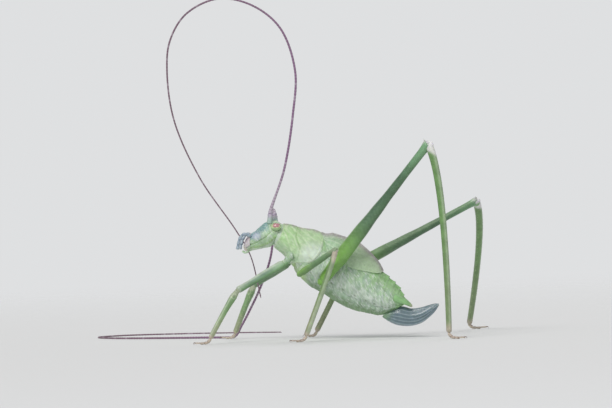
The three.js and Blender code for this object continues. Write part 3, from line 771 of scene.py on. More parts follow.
    def trunk_paint(self, down: Array, where: Array, part: Array, hole: Array) -> Array:
        """Colours of the trunk: green back, chalky mottled flank, lime lobes and a green belly.

        Args:
            down: how far down each point lies, from back (0) to belly (1).
            where: its row number.
            part: how far along its belt it lies, from 0 to 1.
            hole: how much of a breathing hole is there.

        Returns:
            One colour for each point.
        """
        wave = 0.05 * np.sin(where * 7.0) + 0.04 * np.sin(where * 17.0 + down * 9.0)
        dashes = 0.6 * np.sin(where * 23.0 - down * 26.0) + 0.5 * np.sin(where * 41.0 - down * 47.0 + 1.3)
        abdomen = smooth(3.4, 4.2, where)
        return layered(down.shape, self.white, (
            (self.grey_green, abdomen),
            (self.leaf_green, (1 - smooth(0.24, 0.42, down + wave)) * abdomen * 0.9),
            (self.back_green, (1 - smooth(0.06, 0.26, down + wave)) * abdomen * 0.85),
            (self.chalk, bell(down - 0.66 + wave, 0.13) * abdomen * 0.5),
            (self.chalk, np.clip(dashes, 0, 1) * bell(down - 0.55, 0.22) * abdomen * 0.55),
            (self.leaf_green, bell(down - 0.47 - wave, 0.06) * abdomen * 0.5),
            (self.belly_green, smooth(0.83, 0.93, down + wave * 0.5) * abdomen * 0.8),
            (self.back_green, smooth(9.6, 10.8, where) * 0.9),
            (self.chalk, smooth(0.86, 0.95, part) * abdomen * 0.22),
            ((0.12, 0.22, 0.10), bell(part, 0.04) * abdomen * 0.16),
            ((0.14, 0.20, 0.10), hole),
            (self.lime, bell(where - 3.2, 0.6) * smooth(0.72, 0.95, down) * (1 - abdomen) * 0.9),
            (self.lime, bell(where - 2.35, 0.28) * smooth(0.80, 0.93, down) * 0.9),
            (self.leaf_green, bell(where - 0.6, 0.5) * smooth(0.75, 0.95, down) * (1 - abdomen) * 0.4)))

    def head(self) -> Shape:
        """The head capsule, with the sockets, cheek groove and face sutures."""
        rings, down, _ = HEAD.rings(np.linspace(0, 7.3, self.head_rings), self.head_sides, -self.inset)
        side, x, y = rings.points[..., 1:], np.abs(rings.points[..., 0]), rings.points[..., 1]
        groove, fold, seam, line = (
            distance_to(side, at)
            for at in (self.cheek_groove, self.cheek_fold, self.face_seam, self.cheek_line))
        socket = np.linalg.norm(np.concatenate([x[..., None], side], -1) - self.feeler_socket, axis=-1)
        orbit = from_middle(side, (-3.16, 12.14), (0.66, 0.56))
        height = ((0.05 * bell(fold, 0.12) - 0.06 * bell(groove, 0.07)) * smooth(0.4, 0.7, x)
                  - 0.06 * bell(seam, 0.06) + 0.10 * bell(socket - 0.34, 0.09)
                  + 0.07 * bell(orbit - 1.0, 0.20) * smooth(0.5, 0.8, x))
        z = side[..., 1]
        mottle = 0.5 + 0.25 * np.sin(y * 19 + z * 11) + 0.25 * np.sin(z * 31 - y * 13)
        front = smooth(-3.6, -4.3, y) * (1 - smooth(0.30, 0.52, down + 0.10 * mottle))
        patch = from_middle(side, (-5.30, 11.20), (0.72, 0.58)) + 0.3 * mottle
        return rings.pushed(height).shape(layered(down.shape, self.cheek, (
            (self.face_blue, front * 0.95),
            (self.lilac, (1 - smooth(0.5, 1.25, patch)) * 0.85),
            ((0.58, 0.68, 0.58), smooth(0.55, 0.95, mottle) * smooth(0.28, 0.40, down) * 0.45),
            ((0.34, 0.56, 0.18), bell(fold, 0.13) * 0.75),
            ((0.56, 0.68, 0.52), bell(line, 0.12) * 0.8),
            ((0.20, 0.36, 0.12), bell(groove, 0.06) * 0.7),
            ((0.58, 0.66, 0.46), bell(orbit - 1.05, 0.14) * 0.45),
            *(((0.60, 0.72, 0.58), bell(distance_to(side, at), 0.07) * 0.5) for at in self.face_lines),
            ((0.30, 0.45, 0.34), bell(x, 0.14) * smooth(-3.9, -4.4, y) * (down < 0.5) * 0.6))))

    def flank_marks(self, points: Array) -> Array:
        """How strongly each place carries the pale dashes: most on the abdomen's sides.

        Args:
            points: the places.

        Returns:
            One strength for each of them.
        """
        side = points[:, 1:]
        away = distance_to(side, [*self.flank_outline, self.flank_outline[0]])
        on_flank = np.where(inside(side, self.flank_outline), 1.0, 1 - smooth(0.0, 0.8, away))
        on_head = 0.45 * smooth(-2.8, -3.4, side[:, 0])
        return np.maximum(on_flank * smooth(0.5, 1.0, np.abs(points[:, 0])) * 0.8, on_head) + 0.2

    def shield(self) -> Shape:
        """The saddle-shaped plate over the front of the thorax, with a pale rim and slanting lines."""
        rings, down, where = TRUNK.rings(np.linspace(0, 5, 130), self.plate_sides)
        side, x, y = rings.points[..., 1:], rings.points[..., 0], rings.points[..., 1]
        edge = softened(self.shield_outline)
        rim = distance_to(side, [*edge, edge[0]])
        line = np.min([distance_to(side, at) for at in self.shield_lines], axis=0)
        furrow = distance_to(side, self.shield_furrow)
        lobe = from_middle(side, (0.9, 8.9), (1.9, 1.5))
        height = (0.035 + 0.07 * smooth(0.0, 0.16, rim) * smooth(0.0, 0.10, where)
                  - 0.03 * bell(rim - 0.26, 0.07) - 0.045 * bell(furrow, 0.09) + 0.02 * bell(line, 0.08))
        blotch = 0.6 + 0.25 * np.sin(y * 8.0)
        tint = layered(down.shape, (0.38, 0.59, 0.29), (
            ((0.45, 0.63, 0.37), smooth(-2.2, 0.6, y)),
            ((0.66, 0.76, 0.66), (1 - smooth(0.55, 1.25, lobe)) * 0.9),
            ((0.50, 0.64, 0.50), smooth(0.55, 0.75, down) * 0.4),
            ((0.62, 0.75, 0.52), bell(line, 0.07) * 0.6),
            ((0.60, 0.70, 0.52), (1 - smooth(0.05, 0.16, rim)) * 0.5),
            (self.mauve, bell(x, 0.24) * (down < 0.2) * blotch),
            ((0.26, 0.42, 0.16), bell(furrow, 0.07) * 0.45)))
        return solid_from(rings.pushed(height).shape(tint), [slab(edge, -5.0, 5.0)], Join.KEEP_COMMON)

    def pad(self, near: float, far: float) -> Shape:
        """One small wing pad: a leaf-shaped flap with raised veins and a pinkish border.

        Args:
            near: the x where it starts.
            far: the x up to which it may reach.

        Returns:
            The flap.
        """
        rings, down, _ = TRUNK.rings(np.linspace(1.9, 8.6, 170), self.plate_sides)
        side, x, y, z = rings.points[..., 1:], *np.moveaxis(rings.points, -1, 0)
        edge = softened(self.pad_outline)
        rim = np.where(inside(side, edge), distance_to(side, [*edge, edge[0]]), 0.0)
        root = side - self.pad_root
        bearing = np.degrees(np.arctan2(root[..., 1], root[..., 0]))
        reach = np.linalg.norm(root, axis=-1)
        turns = [np.abs(np.radians(bearing - aim - bend * reach)) for aim, bend in self.vein_aims]
        vein = np.min(turns, axis=0) * reach
        cross = np.abs(((reach * 1.9 + 0.35 * np.sin(bearing * 0.35)) % 1.0) - 0.5) / 1.9
        height = (0.17 + 0.40 * smooth(0.0, 0.9, rim) + 0.035 * bell(vein, 0.055) + 0.018 * bell(cross, 0.04)
                  + 0.03 * bell(rim - 0.05, 0.05))
        rear = smooth(-0.6, 0.5, (y - 7.9) + (z - 7.2) * 0.9)
        tint = layered(down.shape, (0.33, 0.51, 0.32), (
            ((0.46, 0.61, 0.39), smooth(2.0, 7.6, y)),
            ((0.52, 0.66, 0.42), bell(z - 8.6, 0.8) * 0.4),
            ((0.60, 0.72, 0.55), bell(vein, 0.05) * 0.55),
            ((0.55, 0.66, 0.50), bell(cross, 0.035) * 0.3),
            ((0.30, 0.25, 0.25), (1 - smooth(0.08, 0.30, rim)) * rear * 0.75),
            ((0.56, 0.54, 0.50), bell(rim - 0.36, 0.06) * rear * 0.5),
            (self.mauve, (down < 0.2) * bell(x, 0.3) * 0.75)))
        return solid_from(rings.pushed(height).shape(tint), [slab(edge, near, far)], Join.KEEP_COMMON)

    def build(self, coxae: Sequence[Shape]) -> None:
        """Builds the skin, the shield and the two wing pads.

        Args:
            coxae: the legs' first segments, which are welded into the skin.
        """
        skin = solid_from(self.trunk(), [self.head(), *coxae], Join.WELD)
        skin.marks = self.flank_marks(skin.points)
        legs = [f"{leg.name}_coxa" for leg in LEGS]
        nodes = ("head", "thorax", "abdomen", "abdomen_tip", *legs)
        self.cabinet.show("body_skin", skin, SKIN, "thorax", *nodes)
        self.cabinet.show("pronotum_shield", self.shield(), SHIELD, "pronotum", "pronotum")
        for name, near, far in (("left", 0.05, 6.0), ("right", -6.0, -0.05)):
            self.cabinet.show(f"wing_pad_flap_{name}", self.pad(near, far), PAD, "pad", f"wing_pad_{name}")


# ---------------------------------------------------------------- head parts


@dataclass
class HeadParts:
    """Eyes, mouth, and the long jointed palps that arch over the mouth."""

    cabinet: Cabinet
    eye_centre: Point = (1.12, -3.16, 12.14)
    eye_radii: Point = (0.38, 0.53, 0.42)
    eye_rings: int = 60
    rose: Colour = (0.48, 0.15, 0.21)
    cream: Colour = (0.66, 0.70, 0.40)
    eye_green: Colour = (0.36, 0.54, 0.27)
    lip_pink: Colour = (0.53, 0.46, 0.49)
    palp_blue: Colour = (0.24, 0.32, 0.40)
    palp_radius: float = 0.16
    palp_steps: int = 90
    palp_joints: tuple[float, ...] = (0.0, 0.16, 0.34, 0.58, 0.80, 1.0)

    def eye(self, name: str, sign: int) -> None:
        """One eye: rose above with a painted highlight inside the rose, a cream line and green below.

        Args:
            name: its side.
            sign: 1 on the left and -1 on the right.
        """
        egg = ball((0, 0, 0), self.eye_radii, rings=self.eye_rings, sides=self.eye_rings)
        y, z = egg.points[:, 1] / self.eye_radii[1], egg.points[:, 2] / self.eye_radii[2]
        wave = 0.10 * np.sin(y * 8) + 0.08 * np.sin(y * 17 + z * 9) + 0.05 * np.sin(z * 31 + y * 23)
        patch = np.hypot((y - 0.06) / 0.84, (z - 0.40) / 0.56) + wave
        egg.painted(layered(y.shape, self.eye_green, (
            (self.cream, bell(z + 0.02 + wave, 0.22) * 0.7),
            (self.rose, (1 - smooth(0.80, 1.10, patch)) * 0.92),
            # painted highlight: a paler pink ring inside the rose patch
            ((0.54, 0.34, 0.36), bell(patch - 0.45, 0.20) * 0.6),
            (self.cream, bell(y + 0.72, 0.22) * bell(z - 0.35, 0.30) * 0.8),
            ((0.62, 0.70, 0.42), bell(y - 0.78, 0.16) * bell(z - 0.2, 0.3) * 0.7))))
        egg.points = (egg.points + self.eye_centre) * np.array([sign, 1, 1])
        if sign < 0:
            egg.faces = [f[::-1] for f in egg.faces]
        self.cabinet.show(f"eye_lens_{name}", egg, EYE, "eye", f"eye_{name}")

    def mouth(self) -> None:
        """The pinkish lip with its notch, the jaws beside it and the small lower palps."""
        rings, down, where = HEAD.rings(np.linspace(6.55, 9.0, 56), 90, 0.01)
        lip = 1 - smooth(0.60, 0.72, down)
        gap = bell(down - 0.70, 0.03)
        height = (0.05 * lip - 0.07 * gap - 0.05 * bell(rings.points[..., 0], 0.06) * (down > 0.6)
                  - 0.05 * bell(where - 7.55, 0.10) * lip)
        tint = layered(down.shape, self.lip_pink, (
            ((0.66, 0.66, 0.64), smooth(0.2, 0.5, down) * 0.5),
            ((0.40, 0.55, 0.34), smooth(0.64, 0.80, down) * 0.9),
            ((0.22, 0.30, 0.24), gap * 0.7)))
        parts = [rings.pushed(height).shape(tint)]
        tilted = np.array([[1.0, 0, 0], [0, 0.95, 0.3], [0, -0.3, 0.95]])
        for sign in (1, -1):
            jaw = ball((sign * 0.36, -6.52, 9.98), (0.17, 0.22, 0.40), tilted, 18, 20)
            parts.append(jaw.painted((0.52, 0.50, 0.42)))
            route = route_through([(sign * 0.36, -6.28, 9.62), (sign * 0.42, -6.52, 9.46),
                                   (sign * 0.38, -6.74, 9.50), (sign * 0.30, -6.90, 9.66)], 8)
            size = 0.17 * (1 + 0.18 * np.sin(np.linspace(0, 3 * math.pi, len(route))) ** 2)
            size[-1] *= 0.5
            parts.append(swept(route, size, size, (1, 0, 0), 12)[0].shape((0.45, 0.60, 0.42)))
        self.cabinet.show("mouth_lip_and_jaws", joined(parts), MOUTH, "mouth", "mouthparts")

    def palp(self, name: str, sign: int, lag: float) -> None:
        """One long palp of five joints, swelling towards each joint and blunt at its end.

        Args:
            name: its side.
            sign: 1 on the left and -1 on the right.
            lag: how far its outer joints lie behind the left palp's.
        """
        path, _ = evenly(route_through([
            (sign * 0.62, -5.95, 11.18), (sign * 0.92, -6.55 + lag, 11.45), (sign * 0.86, -6.98 + lag, 11.15),
            (sign * 0.66, -7.25 + lag, 10.50), (sign * 0.50, -7.42 + lag, 9.80)]), self.palp_steps)
        t = np.linspace(0, 1, self.palp_steps)
        part = np.zeros(self.palp_steps)
        for start, end in zip(self.palp_joints, self.palp_joints[1:]):
            here = (t >= start) & (t <= end)
            part[here] = (t[here] - start) / (end - start)
        size = 0.80 + 0.24 * smooth(0.0, 0.75, part) - 0.24 * smooth(0.86, 1.0, part) * (t < 0.97)
        size *= 2 * self.palp_radius * np.sqrt(np.clip(1 - ((t - 0.955) / 0.045).clip(0, 0.98) ** 2, 0.02, 1))
        rings, facing = swept(path, size, size * 1.05, (1, 0, 0), 22)
        part, t = part[:, None], t[:, None]
        tint = layered(facing.shape, self.palp_blue, (
            ((0.50, 0.58, 0.65), 0.6 * bell(part - 0.5, 0.35)),
            ((0.09, 0.14, 0.20), bell(part, 0.08) * (t > 0.05) * 0.6),
            ((0.70, 0.74, 0.76), smooth(0.93, 1.0, t) * 0.6)))
        self.cabinet.show(f"palp_jointed_{name}", rings.shape(tint), PALP, "palp", f"palp_{name}")

    def build(self) -> None:
        """Builds the eyes, the mouth and the two palps."""
        self.eye("left", 1)
        self.eye("right", -1)
        self.mouth()
        self.palp("left", 1, 0.0)
        self.palp("right", -1, 0.2)


@dataclass
class Feelers:
    """The thread-like feelers, each of a stout root joint and hundreds of short rings."""

    cabinet: Cabinet
    thick: float = 0.125
    thin: float = 0.06
    ring_length: float = 0.34
    lying: float = 0.26
    plum: Colour = (0.27, 0.15, 0.27)
    dusk: Colour = (0.20, 0.12, 0.16)
    pale: Colour = (0.56, 0.50, 0.57)

    left: tuple[Point, ...] = (
        (0.60, -3.72, 13.95), (0.60, -2.20, 18.15), (0.60, -1.10, 24.00), (0.57, -0.75, 28.70),
        (0.47, -2.24, 33.25), (0.38, -5.20, 35.75), (0.30, -8.80, 36.55),
        (0.20, -12.30, 35.00), (0.00, -14.10, 32.20),
        (-0.33, -14.53, 29.10), (-0.60, -13.96, 23.80), (-1.00, -11.40, 17.55), (-1.60, -7.70, 11.80),
        (-2.20, -6.30, 9.10), (-3.00, -5.36, 4.50))
    right: tuple[Point, ...] = (
        (-1.02, -3.50, 13.60), (-2.20, -3.72, 13.90), (-3.40, -3.85, 12.70), (-4.20, -4.02, 10.80),
        (-4.90, -4.45, 8.60), (-7.30, -6.10, 4.90), (-9.40, -8.10, 1.60))
    right_on_floor: Line = (
        (-10.70, -9.20), (-12.40, -12.40), (-14.60, -18.00), (-18.00, -23.20), (-22.80, -25.40),
        (-27.20, -23.20), (-28.90, -18.00), (-28.40, -11.00), (-26.60, -5.40))
    joint_form: Line = (
        (-0.05, 0.50), (0.0, 0.60), (0.12, 0.60), (0.45, 0.52), (0.70, 0.56), (0.76, 0.50), (0.80, 0.38),
        (0.90, 0.46), (1.02, 0.44), (1.06, 0.36), (1.12, 0.20))

    def thread(self, name: str, route: Array, nodes: Sequence[str], on_floor: bool) -> None:
        """A tapering ringed thread along a route.

        Args:
            name: the piece's name.
            route: closely spaced points.
            nodes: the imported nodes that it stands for.
            on_floor: whether low parts are laid on the floor.
        """
        count = int(evenly(route, 2)[1] / (self.ring_length / 4))
        path, length = evenly(route, count)
        t = np.linspace(0, 1, count)
        radius = (self.thin + (self.thick - self.thin) * (1 - smooth(0.0, 1.15, t))
                  + 0.06 * (1 - smooth(0, 0.04, t)))
        radius = radius * np.sqrt(np.clip((1 - t) / 0.003, 0.02, 1))
        number, part = np.divmod(t * length / self.ring_length, 1.0)
        if on_floor:
            drop = (self.lying - radius) * (1 - smooth(0.5, 4.0, path[:, 2]))
            path[:, 2] = np.maximum(radius * 1.08, path[:, 2] - drop)
        size = 2 * radius * (1 + 0.07 * np.sin(part * 2 * math.pi))
        chosen = (np.sin(number * 12.9898) * 43758.5453) % 1.0 > 0.88
        tint = layered(t.shape, self.plum, (
            (self.dusk, smooth(0.15, 0.6, t)),
            (self.pale, (1 - smooth(0.01, 0.10, t)) * 0.65),
            (self.pale, chosen * 0.30 + bell(part - 0.5, 0.2) * 0.08),
            ((0.05, 0.03, 0.04), bell(part, 0.14) * 0.4)))
        thread = swept(path, size, size, (1.0, 0.2, 0.1), 12)[0].shape(tint[:, None])
        self.cabinet.show(name, thread, FEELER, "feeler", *nodes)

    def root(self, side: str, foot: Point, tip: Point) -> None:
        """The stout first joint and the small second one.

        Args:
            side: the feeler's side.
            foot: where it leaves the head.
            tip: where the thread begins.
        """
        t = np.linspace(-0.05, 1.12, 44)
        size = np.interp(t, *zip(*self.joint_form))
        path = np.asarray(foot) + t[:, None] * (np.asarray(tip) - np.asarray(foot))
        tint = layered(t.shape, (0.38, 0.52, 0.46), (
            ((0.50, 0.44, 0.54), smooth(0.1, 0.8, t)), ((0.16, 0.10, 0.18), bell(t - 0.78, 0.04) * 0.8)))
        joint = swept(path, size, size, (1, 0, 0), 28)[0].shape(tint[:, None])
        self.cabinet.show(f"feeler_root_{side}", joint, SCAPE, "scape", f"antenna_{side}_scape")

    def build(self) -> None:
        """Builds both feelers: the left one looped high, the right one down and along the floor."""
        self.root("left", (0.52, -3.88, 12.55), (0.60, -3.76, 13.82))
        self.root("right", (-0.42, -3.35, 12.50), (-0.92, -3.46, 13.52))
        raised = route_through([(0.597, -3.79, 13.55), *self.left])
        self.thread("feeler_left", raised, [f"antenna_left_{i}" for i in range(1, 8)], False)
        laid = [(x, y, self.lying) for x, y in self.right_on_floor]
        low = route_through([(-0.85, -3.44, 13.35), *self.right, *laid])
        self.thread("feeler_right", low, [f"antenna_right_{i}" for i in range(1, 7)], True)


# ---------------------------------------------------------------- tail


@dataclass
class Tail:
    """The curved egg-laying blade and the two short tail feelers."""

    cabinet: Cabinet
    steel: Colour = (0.13, 0.19, 0.22)
    line: Colour = (0.34, 0.42, 0.46)
    rings: int = 130
    sides: int = 96
    ridges: tuple[float, ...] = (0.14, 0.34, 0.52, 0.70, 0.86)
    cercus_route: tuple[Point, Point, Point] = ((0.85, 9.20, 4.25), (0.95, 10.30, 3.95), (0.42, 11.02, 3.28))

    def blade(self) -> None:
        """The blade: two pairs of valves with lengthwise ridges and fine teeth near the tip."""
        rings, down, where = BLADE_FORM.rings(np.linspace(0, 7, self.rings), self.sides, -0.015)
        bend = np.sin((where - 1) * 0.6)
        fade = smooth(0.5, 1.6, where) * (1 - smooth(6.6, 7.0, where))
        ridge = np.max([bell(down - level - 0.06 * bend, 0.022) for level in self.ridges], 0) * fade
        saw = ((where * 9.0) % 1.0) * smooth(4.9, 5.6, where) * bell(rings.points[..., 0], 0.10)
        height = (0.035 * ridge - 0.05 * bell(down - 0.60 - 0.05 * bend, 0.015) * fade
                  + 0.05 * saw * (np.abs(down - 0.5) > 0.42))
        tint = layered(down.shape, self.steel, (
            ((0.26, 0.42, 0.24), (1 - smooth(0.2, 1.6, where)) * 0.8),
            (self.line, ridge * 0.75),
            ((0.46, 0.50, 0.58), smooth(0.90, 1.0, down) * 0.7),
            ((0.46, 0.48, 0.50), (1 - smooth(0.0, 0.05, down)) * 0.5),
            ((0.45, 0.48, 0.50), smooth(6.2, 7.0, where) * 0.4)))
        self.cabinet.show("egg_blade", rings.pushed(height).shape(tint), BLADE, "ovipositor", "ovipositor")

    def cercus(self, side: str, sign: int) -> None:
        """One short, curved tail feeler.

        Args:
            side: its side.
            sign: 1 on the left and -1 on the right.
        """
        t = np.linspace(0, 1, 40)[:, None]
        a, b, c = np.asarray(self.cercus_route) * (sign, 1, 1)
        path = (1 - t) ** 2 * a + 2 * t * (1 - t) * b + t**2 * c
        size = np.interp(t[:, 0], [0, 0.15, 0.6, 0.92, 1.0], [0.86, 0.84, 0.52, 0.26, 0.06])
        rings, facing = swept(path, size, size, (1, 0, 0), 28)
        tint = layered(facing.shape, (0.27, 0.50, 0.22), [((0.42, 0.44, 0.28), smooth(0.7, 1, t))])
        self.cabinet.show(f"tail_feeler_{side}", rings.shape(tint), LEG, "cercus", f"cercus_{side}")

    def build(self) -> None:
        """Builds the blade and the tail feelers."""
        self.blade()
        self.cercus("left", 1)
        self.cercus("right", -1)


# ---------------------------------------------------------------- legs


@dataclass(frozen=True)
class LegForm:
    """Sizes and colours of one pair of legs: tables give the fraction of length, depth and width."""

    femur: tuple[Point, ...]
    tibia: tuple[Point, ...]
    coxa: tuple[float, float]
    coxa_root: Point
    bow: float
    foot: float
    femur_tints: tuple[Colour, Colour, Colour]
    tibia_tints: tuple[Colour, Colour, Colour]
    knee_tint: Colour
    shin_root: Colour
    spines: int
    spine_length: float
    crest_spines: bool = False
    pointed_knee: bool = False
    ear_at: float = 0.0
    pale_edge: float = 0.0
    # how strongly painted shade darkens the lower side of the thigh
    underside_shade: float = 0.6


FORE = LegForm(
    femur=((0, 0.72, 0.66), (0.12, 0.98, 0.78), (0.4, 0.92, 0.74), (0.8, 0.70, 0.62), (1, 0.74, 0.62)),
    tibia=((0, 0.60, 0.58), (0.12, 0.60, 0.58), (0.30, 0.76, 0.72), (0.60, 0.60, 0.58), (1, 0.54, 0.52)),
    coxa=(1.0, 0.78), coxa_root=(1.10, -1.55, 9.20), bow=0.12, foot=1.75,
    femur_tints=((0.33, 0.48, 0.32), (0.22, 0.34, 0.24), (0.33, 0.44, 0.31)),
    tibia_tints=((0.32, 0.46, 0.25), (0.21, 0.35, 0.16), (0.34, 0.38, 0.24)),
    knee_tint=(0.42, 0.50, 0.38), shin_root=(0.40, 0.44, 0.32), spines=9, spine_length=0.22, ear_at=0.27,
    pale_edge=0.55)
MIDDLE = LegForm(
    femur=((0, 0.66, 0.60), (0.15, 0.76, 0.66), (0.5, 0.66, 0.60), (0.85, 0.56, 0.52), (1, 0.58, 0.54)),
    tibia=((0, 0.56, 0.54), (1, 0.54, 0.52)),
    coxa=(1.1, 0.8), coxa_root=(1.20, 0.15, 8.20), bow=0.15, foot=1.85,
    femur_tints=((0.26, 0.46, 0.14), (0.19, 0.32, 0.17), (0.30, 0.38, 0.25)),
    tibia_tints=((0.36, 0.37, 0.25), (0.18, 0.29, 0.12), (0.30, 0.33, 0.20)),
    knee_tint=(0.26, 0.36, 0.22), shin_root=(0.52, 0.46, 0.38), spines=12, spine_length=0.20)
HIND = LegForm(
    femur=((0, 0.90, 0.72), (0.06, 1.26, 0.94), (0.2, 1.62, 1.16), (0.36, 1.48, 1.10), (0.5, 1.18, 0.96),
           (0.65, 0.92, 0.80), (0.8, 0.82, 0.68), (0.93, 0.84, 0.66), (1, 1.00, 0.68)),
    tibia=((0, 0.80, 0.62), (0.06, 0.86, 0.64), (0.3, 0.78, 0.62), (0.7, 0.68, 0.58), (1, 0.60, 0.56)),
    coxa=(1.3, 1.0), coxa_root=(1.35, 2.10, 7.10), bow=0.70, foot=2.3,
    femur_tints=((0.20, 0.42, 0.08), (0.075, 0.15, 0.085), (0.19, 0.37, 0.20)),
    tibia_tints=((0.17, 0.31, 0.11), (0.15, 0.28, 0.10), (0.19, 0.27, 0.13)),
    knee_tint=(0.20, 0.36, 0.16), shin_root=(0.80, 0.79, 0.78), spines=26, spine_length=0.16,
    crest_spines=True, pointed_knee=True, underside_shade=0.30)


@dataclass
class Leg:
    """One leg from its hip to its claws."""

    name: str
    form: LegForm
    hip: Point
    knee: Point
    ankle: Point
    toe: tuple[float, float]
    steps: int = 150
    sides: int = 30
    bow_height: float = 0.2

    # Each pad's first and last (fraction of the foot, height), its depth and its width.
    PADS = (((-0.05, 0.60), (0.17, 0.20), 0.36, 0.38), ((0.13, 0.20), (0.36, 0.17), 0.30, 0.36),
            ((0.34, 0.17), (0.60, 0.14), 0.26, 0.46), ((0.54, 0.19), (0.93, 0.20), 0.17, 0.17))
    # Places along a claw: fraction of the foot, distance from its middle line, and height.
    CLAW = ((0.90, 0.0, 0.20), (0.955, 0.07, 0.25), (0.995, 0.15, 0.17), (0.985, 0.17, 0.03))

    @cached_property
    def joints(self) -> tuple[Array, Array, Array]:
        """Hip, knee and ankle."""
        return np.array(self.hip), np.array(self.knee), np.array(self.ankle)

    @cached_property
    def shin(self) -> tuple[float, Array, Array]:
        """The shin's length, its direction, and the outward direction of its bow."""
        hip, knee, ankle = self.joints
        down, thigh = unit(ankle - knee), unit(knee - hip)
        return np.linalg.norm(ankle - knee), down, unit(thigh - (thigh @ down) * down)

    def coxa(self) -> Shape:
        """The hip joint's cone, which is welded into the body's skin."""
        hip = self.joints[0]
        root = np.array(self.form.coxa_root) * (math.copysign(1, hip[0]), 1, 1)
        wide, narrow = self.form.coxa
        t = np.linspace(-0.25, 1.04, 34)
        size = np.interp(t, (-0.25, 0, 0.75, 0.95, 1.04),
                         (wide * 0.7, wide * 0.96, narrow * 0.98, narrow * 0.86, narrow * 0.5))
        t = t[:, None]
        rings, facing = swept(root + t * (hip - root), size, size, (0.0, 0.3, 1.0), 44)
        return rings.shape(layered(facing.shape, (0.36, 0.50, 0.34), (
            (self.form.femur_tints[0], smooth(0.3, 1.0, t) * 0.8),
            ((0.22, 0.30, 0.14), bell(t - 0.55, 0.10) * 0.35))))

    def femur(self) -> Shape:
        """The thigh with its ring-like root, keel, herring-bone field and knee lobes, with painted shade on
        its lower side and on the side towards the body.
        """
        form = self.form
        hip, knee, ankle = self.joints
        deep, along = unit(knee - ankle), unit(knee - hip)
        length = np.linalg.norm(knee - hip)
        t = np.linspace(-0.10 / length, 1 + 0.16 / length, self.steps)
        collar = 1 - 0.16 * bell(t * length - 0.42, 0.07)
        start = smooth(-0.1, 0.18, t * length) * 0.25 + 0.75
        shape = dome((1 + 0.16 / length - t) * length, 0.30, 0.985, 0.02) * start * collar
        depth, width = table_at(form.femur, np.clip(t, 0, 1)).T * 0.985 * shape
        t = t[:, None]
        rings, facing = swept(hip + t * (knee - hip), depth, width, deep, self.sides)
        across = np.sqrt(np.clip(1 - facing**2, 0, 1))
        ribs = np.abs(((t * length * 2.2 + np.abs(facing) * 1.2) % 1.0) - 0.5) * 2
        field_area = across * smooth(0.08, 0.14, t) * (1 - smooth(0.48, 0.6, t)) * form.pointed_knee
        near_knee = smooth(-0.7, -0.05, (t - 1) * length) * form.pointed_knee
        height = (0.030 * bell(facing - 0.90, 0.06) * smooth(0.05, 0.2, t) + 0.025 * bell(facing + 0.90, 0.06)
                  - 0.018 * bell(facing - 0.62, 0.07) * (1 - smooth(0.6, 0.8, t)) + 0.012 * ribs * field_area
                  + 0.05 * bell(facing - 1, 0.35) * near_knee)
        # how far each point faces the body; painted shade darkens that side
        body_side_shade = -rings.normals()[..., 0] * np.sign(hip[0])
        low, middle, high = form.femur_tints
        if form.pointed_knee:
            knee_coat = ((0.56, 0.58, 0.54), near_knee * smooth(0.45, 0.95, facing) * 0.8)
        else:
            knee_coat = (form.knee_tint, smooth(0.955, 0.99, t) * 0.75)
        tint = layered(facing.shape, low, (
            (middle, smooth(0.18, 0.48, t)),
            (high, smooth(0.72, 0.97, t)),
            ((0.50, 0.62, 0.44), bell(facing - 0.95, 0.16) * 0.45),
            ((0.62, 0.68, 0.58), smooth(0.30, 0.75, facing) * form.pale_edge),
            ((0.20, 0.42, 0.16), bell(facing + 0.35, 0.30) * form.pale_edge),
            # painted shade: the thigh's lower side darker
            ((0.08, 0.18, 0.06), smooth(0.1, -0.8, facing) * form.underside_shade),
            ((0.34, 0.50, 0.32), (1 - ribs) * field_area * 0.14),
            ((0.16, 0.26, 0.10), bell(t * length - 0.42, 0.06) * 0.5),
            # painted shade on the side of the thigh that faces the body
            ((0.06, 0.14, 0.05), smooth(0.0, 0.9, body_side_shade) * 0.45),
            knee_coat))
        raised = rings.pushed(height)
        raised.points = raised.points + along * (0.10 * near_knee * (facing - 1))[..., None]
        return joined([raised.shape(tint), *self._lobes(along, deep)])

    def _lobes(self, along: Array, deep: Array) -> list[Shape]:
        """The flat lobes either side of the knee, with a point between them on the hind legs.

        Args:
            along: the thigh's direction.
            deep: the direction of its depth.

        Returns:
            The lobes, and the point.
        """
        form, knee = self.form, self.joints[1]
        depth, width = form.femur[-1][1:]
        side = np.cross(along, deep)
        lobes = []
        for wide in (side, -side):
            centre = knee + along * 0.02 + wide * width * 0.43 - deep * depth * 0.12
            axes = np.stack([wide, deep, np.cross(wide, deep)])
            lobe = ball(centre, (0.07, depth * 0.44, 0.34), axes, 16, 22)
            upper = ((lobe.points - centre) @ deep) / (depth * 0.44)
            rim = smooth(-0.1, 0.5, upper) * form.pointed_knee
            lobes.append(lobe.painted(layered(upper.shape, form.knee_tint, [((0.62, 0.60, 0.62), rim)])))
        if form.pointed_knee:
            dorsal = unit(deep - (deep @ along) * along)
            foot = knee - along * 0.14 + dorsal * depth * 0.30
            lobes.append(spike(foot, dorsal + along * 0.5, 0.52, 0.20, (0.50, 0.52, 0.49)))
        return lobes

    def shin_path(self, t: Array) -> Array:
        """The shin's curved middle line.

        Args:
            t: fractions of its length.

        Returns:
            One place for each fraction.
        """
        _, knee, ankle = self.joints
        length, down, bow = self.shin
        handle = knee + down * length * self.bow_height + bow * 2 * self.form.bow
        t = t[:, None]
        return (1 - t) ** 2 * knee + 2 * t * (1 - t) * handle + t**2 * ankle

